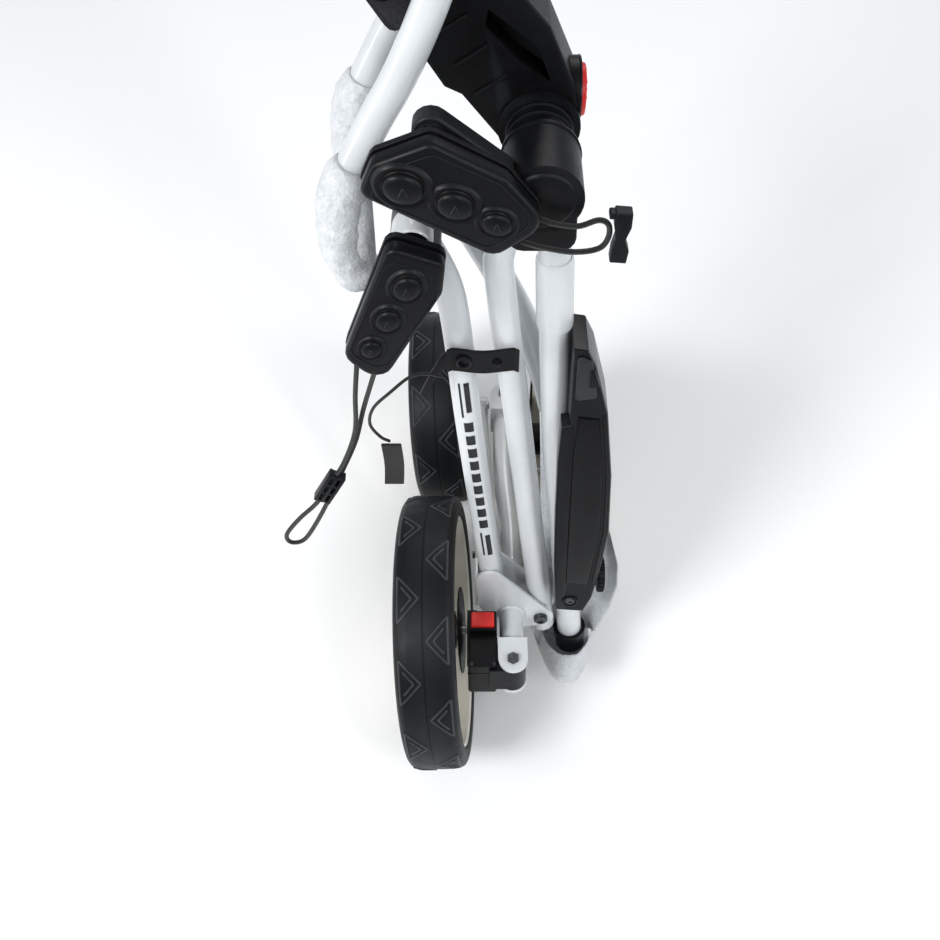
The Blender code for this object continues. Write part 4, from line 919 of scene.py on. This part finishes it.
# bolt heads and nuts
screw("bolt_cap", (7.4, -2.01, 2.6), 0.62, "y", -1, "chassis", 0.22)
screw("charge_screw", (10.1, -2.98, 7.6), 0.52, "y", -1, "upright", 0.16)
ringb = revolve("charge_screw_ring", [(0.62, -0.02), (0.62, -0.14), (0.72, -0.18), (0.82, -0.14), (0.84, 0.02)], 48, "y")
shift_mesh(ringb, (10.1, -2.98, 7.6))
place(ringb, "black_plastic", "upright")

# battery case: raised door, seam, latch with its clip
door = plate("battery_door", [(9.5, 11.0), (11.6, 10.6), (12.2, 18.7), (11.8, 27.0), (10.9, 34.6), (9.1, 34.9), (8.95, 30.0), (9.2, 20.0)],
             -2.96, -3.16, 0.12)
place(door, "gloss_black", "upright")
ridge = plate("battery_ridge", [(12.05, 11.0), (12.35, 11.0), (12.75, 18.7), (12.3, 27.0), (11.3, 35.0), (11.1, 35.0), (12.05, 27.0), (12.45, 18.7)],
              -2.9, -3.1, 0.06)
place(ridge, "gloss_black", "upright")
latch = plate("battery_latch", hull_of_circles([(8.9, 41.6, 0.35), (9.5, 41.2, 0.35), (10.1, 37.6, 0.35), (9.0, 37.4, 0.35)]), -2.95, -3.22, 0.1)
place(latch, "clip", "upright")
clip = plate("latch_hook", hull_of_circles([(9.9, 40.4, 0.18), (10.35, 38.9, 0.18), (9.9, 38.8, 0.18)]), -2.95, -3.35, 0.08)
place(clip, "gloss_black", "upright")
collar_c = revolve("battery_tube_sleeve", [(1.32, -3.6), (1.48, -3.5), (1.52, -3.2), (1.52, 3.0), (1.46, 3.3), (1.32, 3.4)], 48, "z")
collar_c.data.transform(Matrix.Rotation(math.radians(-3.1), 4, "Y"))
shift_mesh(collar_c, (6.68, 0.3, 46.0))
place(collar_c, "frame_paint", "upright")
knurl = []
for k in range(24):
    a = 2 * math.pi * k / 24
    knurl.append(shift_mesh(block("k", (12.84, -0.1, -0.12), (13.44, 0.1, 0.12), 0.05, 1), (0, -0.9 + 1.76 * math.cos(a), 9.4 + 1.76 * math.sin(a)),
                            Matrix.Rotation(a, 4, "X")))
place(join_meshes("knob_knurl", knurl), "black_plastic", "knob")

cap = revolve("rear_tube_end", [(1.2, -3.6), (1.36, -3.66), (1.5, -3.55), (1.56, -3.35), (1.56, -1.3), (1.5, -1.05), (1.36, -0.95)], 56, "y")
shift_mesh(cap, (-4.16, 0, 53.45))
place(cap, "frame_paint", "chassis")
shell = plate("battery_lip", [(7.75, 33.6), (8.9, 33.9), (9.6, 20.0), (9.7, 6.1), (8.75, 6.1), (8.3, 12.0), (7.95, 20.0), (7.7, 29.0)], -3.02, -1.3, 0.14)
place(shell, "gloss_black", "upright")

# strap: a domed peg, its slot frame and a loose tail
peg = lathe("strap_peg", [(0, -0.3), (0.2, -0.29), (0.34, -0.2), (0.4, -0.05), (0.4, 0.1), (0, 0.1)], 32, "y")
shift_mesh(peg, (2.2, -1.78, 40.05))
place(peg, "gloss_black", "chassis")
slotf = revolve("strap_eye", [(0.42, -0.02), (0.44, -0.12), (0.55, -0.17), (0.66, -0.12), (0.68, 0.02)], 40, "y")
shift_mesh(slotf, (-0.5, -1.78, 40.1))
place(slotf, "pad_rubber", "chassis")
tail = plate("strap_tail", [(-1.9, 41.1), (-2.3, 40.8), (-3.3, 38.6), (-4.2, 36.3), (-3.9, 36.1), (-3.1, 37.6), (-2.2, 39.2), (-1.7, 39.4)],
             -1.45, -1.72, 0.08)
place(tail, "pad_rubber", "chassis")


# ------------------------------------------------------------------ bag pads: thick rubber with ringed domes
def pad_face(name, outline, front, back, domes, node, body):
    cx = sum(p[0] for p in outline) / len(outline)
    cz = sum(p[1] for p in outline) / len(outline)
    grow = [(cx + (x - cx) * 0.985, cz + (z - cz) * 0.98) for x, z in outline]
    ob = plate(name, grow, front, back, 0.42, 5)
    place(ob, "pad_rubber", body, smooth=40)
    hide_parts(node)
    tops = []
    for i, (x, z, r) in enumerate(domes):
        k = r / 1.5
        prof = [(0, -0.62 * k), (0.3 * r, -0.60 * k), (0.5 * r, -0.53 * k), (0.62 * r, -0.43 * k), (0.68 * r, -0.30 * k), (0.70 * r, -0.2 * k),
                (0.76 * r, -0.14 * k), (0.86 * r, -0.20 * k), (0.94 * r, -0.20 * k), (1.02 * r, -0.1 * k), (1.08 * r, 0.06), (0, 0.06)]
        d = lathe("dome", prof, 56, "y")
        turn = math.radians(24 if node.startswith("upper") else -62)
        wide = 1.16 if node.startswith("upper") else 1.1
        shift_mesh(d, (x, front, z), Matrix.Rotation(turn, 4, "Y") @ Matrix.Diagonal((wide, 1, 0.96, 1)))
        tops.append(d)
        # a plain raised chevron on the dome
        for s in (-1, 1):
            c = block("c", (-0.05, -0.05, -0.24 * r), (0.05, 0.03, 0.24 * r), 0.03, 1)
            shift_mesh(c, (x + s * 0.1 * r, front - 0.61 * k, z - 0.02 * r), Matrix.Rotation(math.radians(s * -24), 4, "Y"))
            tops.append(c)
    d = join_meshes(name + "_domes", tops)
    place(d, "pad_rubber", body, smooth=32)
    # a fine moulded lip inside the edge
    inner = [(cx + (x - cx) * 0.86, cz + (z - cz) * 0.80) for x, z in outline]
    pts = [Vector((x, front - 0.005, z)) for x, z in inner]
    pts.append(pts[0])
    lip = tube_mesh(name + "_lip", pts, 0.05, 8, False)
    place(lip, "pad_rubber", body, smooth=60)


upper = hull_of_circles([(-5.6, 63.3, 0.9), (-6.3, 61.9, 0.8), (1.9, 62.2, 0.8), (3.2, 59.4, 1.5), (1.6, 57.9, 1.3), (-2.5, 64.6, 0.9)], 8)
lower = hull_of_circles([(-5.2, 54.6, 0.9), (-2.6, 53.6, 0.9), (-2.8, 51.6, 0.9), (-8.1, 45.2, 1.4), (-7.2, 44.3, 1.4)], 8)
pad_face("upper_pad_rubber", upper, -8.6, -7.1, [(-4.25, 62.35, 1.72), (-0.95, 61.0, 1.55), (1.75, 59.5, 1.3)], "upper_pad_face", "upper_pad")
pad_face("lower_pad_rubber", lower, -6.4, -4.93, [(-4.5, 52.1, 1.5), (-6.0, 49.0, 1.36), (-7.4, 46.1, 1.12)], "lower_pad_face", "lower_pad")
screw("upper_pad_bolt", (-2.5, -5.86, 64.4 + 0.0), 0.6, "y", -1, "upright", 0.15)


# ------------------------------------------------------------------ packing foam
def crumple(p, amp, seed):
    q = Vector(p) * 0.55 + Vector((seed, seed * 1.7, 0))
    return amp * (noise.noise(q) * 0.9 + noise.noise(q * 2.7) * 0.5 + noise.noise(q * 6.1) * 0.22)


def foam_sleeve(name, route, node, seed):
    """Foam sheet wound round a handle arm: one closed crumpled sleeve with creases and a ragged edge."""
    full = smooth_path(route, 12)
    pts = full[int(len(full) * 19 / 29):]
    pts = pts + [pts[-1] + (pts[-1] - pts[-2]).normalized() * 0.35]
    pts = smooth_path(pts, 2)
    fr = frames_along(pts)
    bm = bmesh.new()
    sides = 72
    rings = []
    n = len(fr)
    for i, (p, s, u, run) in enumerate(fr):
        ring = []
        for k in range(sides):
            a = 2 * math.pi * k / sides
            d = s * math.cos(a) + u * math.sin(a)
            end = min(i, n - 1 - i) / 5.0
            r = 1.78 + crumple(p + d * 1.2, 0.2, seed) + 0.05 * math.sin(run * 1.7 + 2 * a) - (0.42 * (1 - end) ** 1.5 if end < 1 else 0)
            ring.append(bm.verts.new(p + d * min(2.05, r)))
        rings.append(ring)
    for a, b in zip(rings, rings[1:]):
        for k in range(sides):
            bm.faces.new((a[k], a[(k + 1) % sides], b[(k + 1) % sides], b[k]))
    for ring, (p, s, u, run) in ((rings[0], fr[0]), (rings[-1], fr[-1])):
        inner = [bm.verts.new(p + (s * math.cos(2 * math.pi * k / sides) + u * math.sin(2 * math.pi * k / sides)) * 1.23) for k in range(sides)]
        for k in range(sides):
            bm.faces.new((ring[k], ring[(k + 1) % sides], inner[(k + 1) % sides], inner[k]))
        if ring is rings[0]:
            first = inner
        else:
            for k in range(sides):
                bm.faces.new((first[k], first[(k + 1) % sides], inner[(k + 1) % sides], inner[k]))
    ob = from_bm(name, bm)
    place(ob, "foam", "handle", smooth=60)
    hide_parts(node)


foam_sleeve("foam_grip_near", NEAR, "grip_foam_near", 3.0)
foam_sleeve("foam_grip_far", FAR, "grip_foam_far", 11.0)


def sheet_piece(name, grid, node, body, thick, m=LEANING):
    """A crumpled sheet from a grid of points in cm; its flat area is worked out from the grid but not used."""
    bm = bmesh.new()
    vs = [[bm.verts.new(p) for p in row] for row in grid]
    for a, b in zip(vs, vs[1:]):
        for k in range(len(a) - 1):
            bm.faces.new((a[k], a[k + 1], b[k + 1], b[k]))
    flat_area = sum(f.calc_area() for f in bm.faces) * CM * CM
    ob = from_bm(name, bm)
    place(ob, "foam", body, m, smooth=70)
    sol = ob.modifiers.new("thick", "SOLIDIFY")
    sol.thickness = thick * CM
    sol.offset = 0.0
    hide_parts(node)
    return ob


# a pocket of foam: down behind the tube's foot, round under it and up in front as a rolled lip
left = [(-8.4, 8.6), (-6.5, 7.4), (-4.5, 6.9), (-2.6, 7.0), (-1.4, 8.9), (1.0, 9.4), (5.0, 10.2), (14.0, 12.0)]
right = [(-8.4, 12.0), (-6.5, 13.0), (-3.0, 13.9), (1.0, 14.9), (5.0, 15.4), (9.0, 15.1), (14.0, 13.9)]
ARC_Z, BACK_Y = -5.2, 2.19
rows = [("back", 14.0 + (ARC_Z - 14.0) * i / 44) for i in range(44)]
rows += [("belly", math.pi * i / 30) for i in range(31)] + [("lip", 0.2 * i) for i in range(1, 9)]
grid = []
for kind, t in rows:
    z0 = t if kind == "back" else ARC_Z
    x0, x1 = along(left, z0), along(right, z0)
    if kind != "back":                       # the belly gathers in towards the lip
        q = (1 - math.cos(t)) / 2 if kind == "belly" else 1.0
        x0, x1 = x0 + 0.7 * q, x1 + 0.1 * q
    row = []
    for k in range(41):
        u = k / 40
        x = x0 + (x1 - x0) * u
        full = 1.0 - 0.7 * abs(2 * u - 1) ** 2.6
        if kind == "back":
            y, z = BACK_Y, z0
            fade = min(1.0, max(0.0, (z0 - ARC_Z) / 1.5))
            if u < 0.35 and z < -1.4:
                y -= 1.3 * fade * ((0.35 - u) / 0.35) ** 2
            if u > 0.75:
                y -= 1.6 * fade * ((u - 0.75) / 0.25) ** 2
        elif kind == "belly":
            y = BACK_Y - 6.5 * full * (1 - math.cos(t)) / 2
            z = ARC_Z - 3.4 * full * math.sin(t)
        else:
            y, z = BACK_Y - 6.5 * full + 1.2 * t * full, ARC_Z + t
        away = min(1.0, max(0.0, (math.hypot(x - 10.9, (z + 4.5) * 0.7) - 2.2) / 1.5)) if kind == "back" else 1.0
        w = abs(crumple((x, y, z), 0.34, 7.0))
        if kind == "back":
            y -= w * away * (0.35 if z > 0 else 0.8)
        else:
            y -= 0.6 * w
            z -= 0.5 * w
        row.append(Vector((x, y, z)))
    grid.append(row)
sheet_piece("foam_pocket", grid, "foam_sheet", "upright", 0.1)

grid = []
fm = hub_frame(RIGHT_WHEEL, 0.0)
for i in range(77):
    a = math.radians(68 + 150 * i / 76)
    row = []
    for k in range(31):
        u = k / 30
        run = u * 11.2                       # across the tread, then down the outer face
        if run < 6.1:
            s, r = -3.1 + run, 14.63
        elif run < 6.45:
            q = (run - 6.1) / 0.35
            s, r = 3.0 + 0.17 * math.sin(q * math.pi / 2), 14.63 - 0.2 * (1 - math.cos(q * math.pi / 2))
        else:
            s, r = 3.17, 14.43 - (run - 6.45)
        c = abs(crumple((s * 0.8, r * math.cos(a), r * math.sin(a)), 0.16, 15.0))
        if run < 6.3:
            r += min(c, 0.15)
        else:
            s += min(c, 0.15)
        row.append(Vector((s, r * math.cos(a), r * math.sin(a))))
    grid.append(row)
sheet_piece("foam_over_wheel", grid, "foam_wheel_wrap", "right_drive", 0.1, fm)

# ------------------------------------------------------------------ floor
bm = bmesh.new()
bmesh.ops.create_grid(bm, x_segments=2, y_segments=2, size=6.0)
floor = from_bm("floor", bm)
floor.location.z = -0.0005
m, nt, b = principled("floor")
tc = nt.nodes.new("ShaderNodeTexCoord")
nz = nt.nodes.new("ShaderNodeTexNoise")
nz.inputs["Scale"].default_value = 2.0
nt.links.new(tc.outputs["Object"], nz.inputs["Vector"])
rp = nt.nodes.new("ShaderNodeValToRGB")
rp.color_ramp.elements[0].color = (0.955, 0.957, 0.96, 1)
rp.color_ramp.elements[1].color = (0.975, 0.976, 0.978, 1)
nt.links.new(nz.outputs["Fac"], rp.inputs["Fac"])
nt.links.new(rp.outputs["Color"], b.inputs["Base Color"])
b.inputs["Roughness"].default_value = 0.9
b.inputs["Specular IOR Level"].default_value = 0.1
floor.data.materials.append(m)
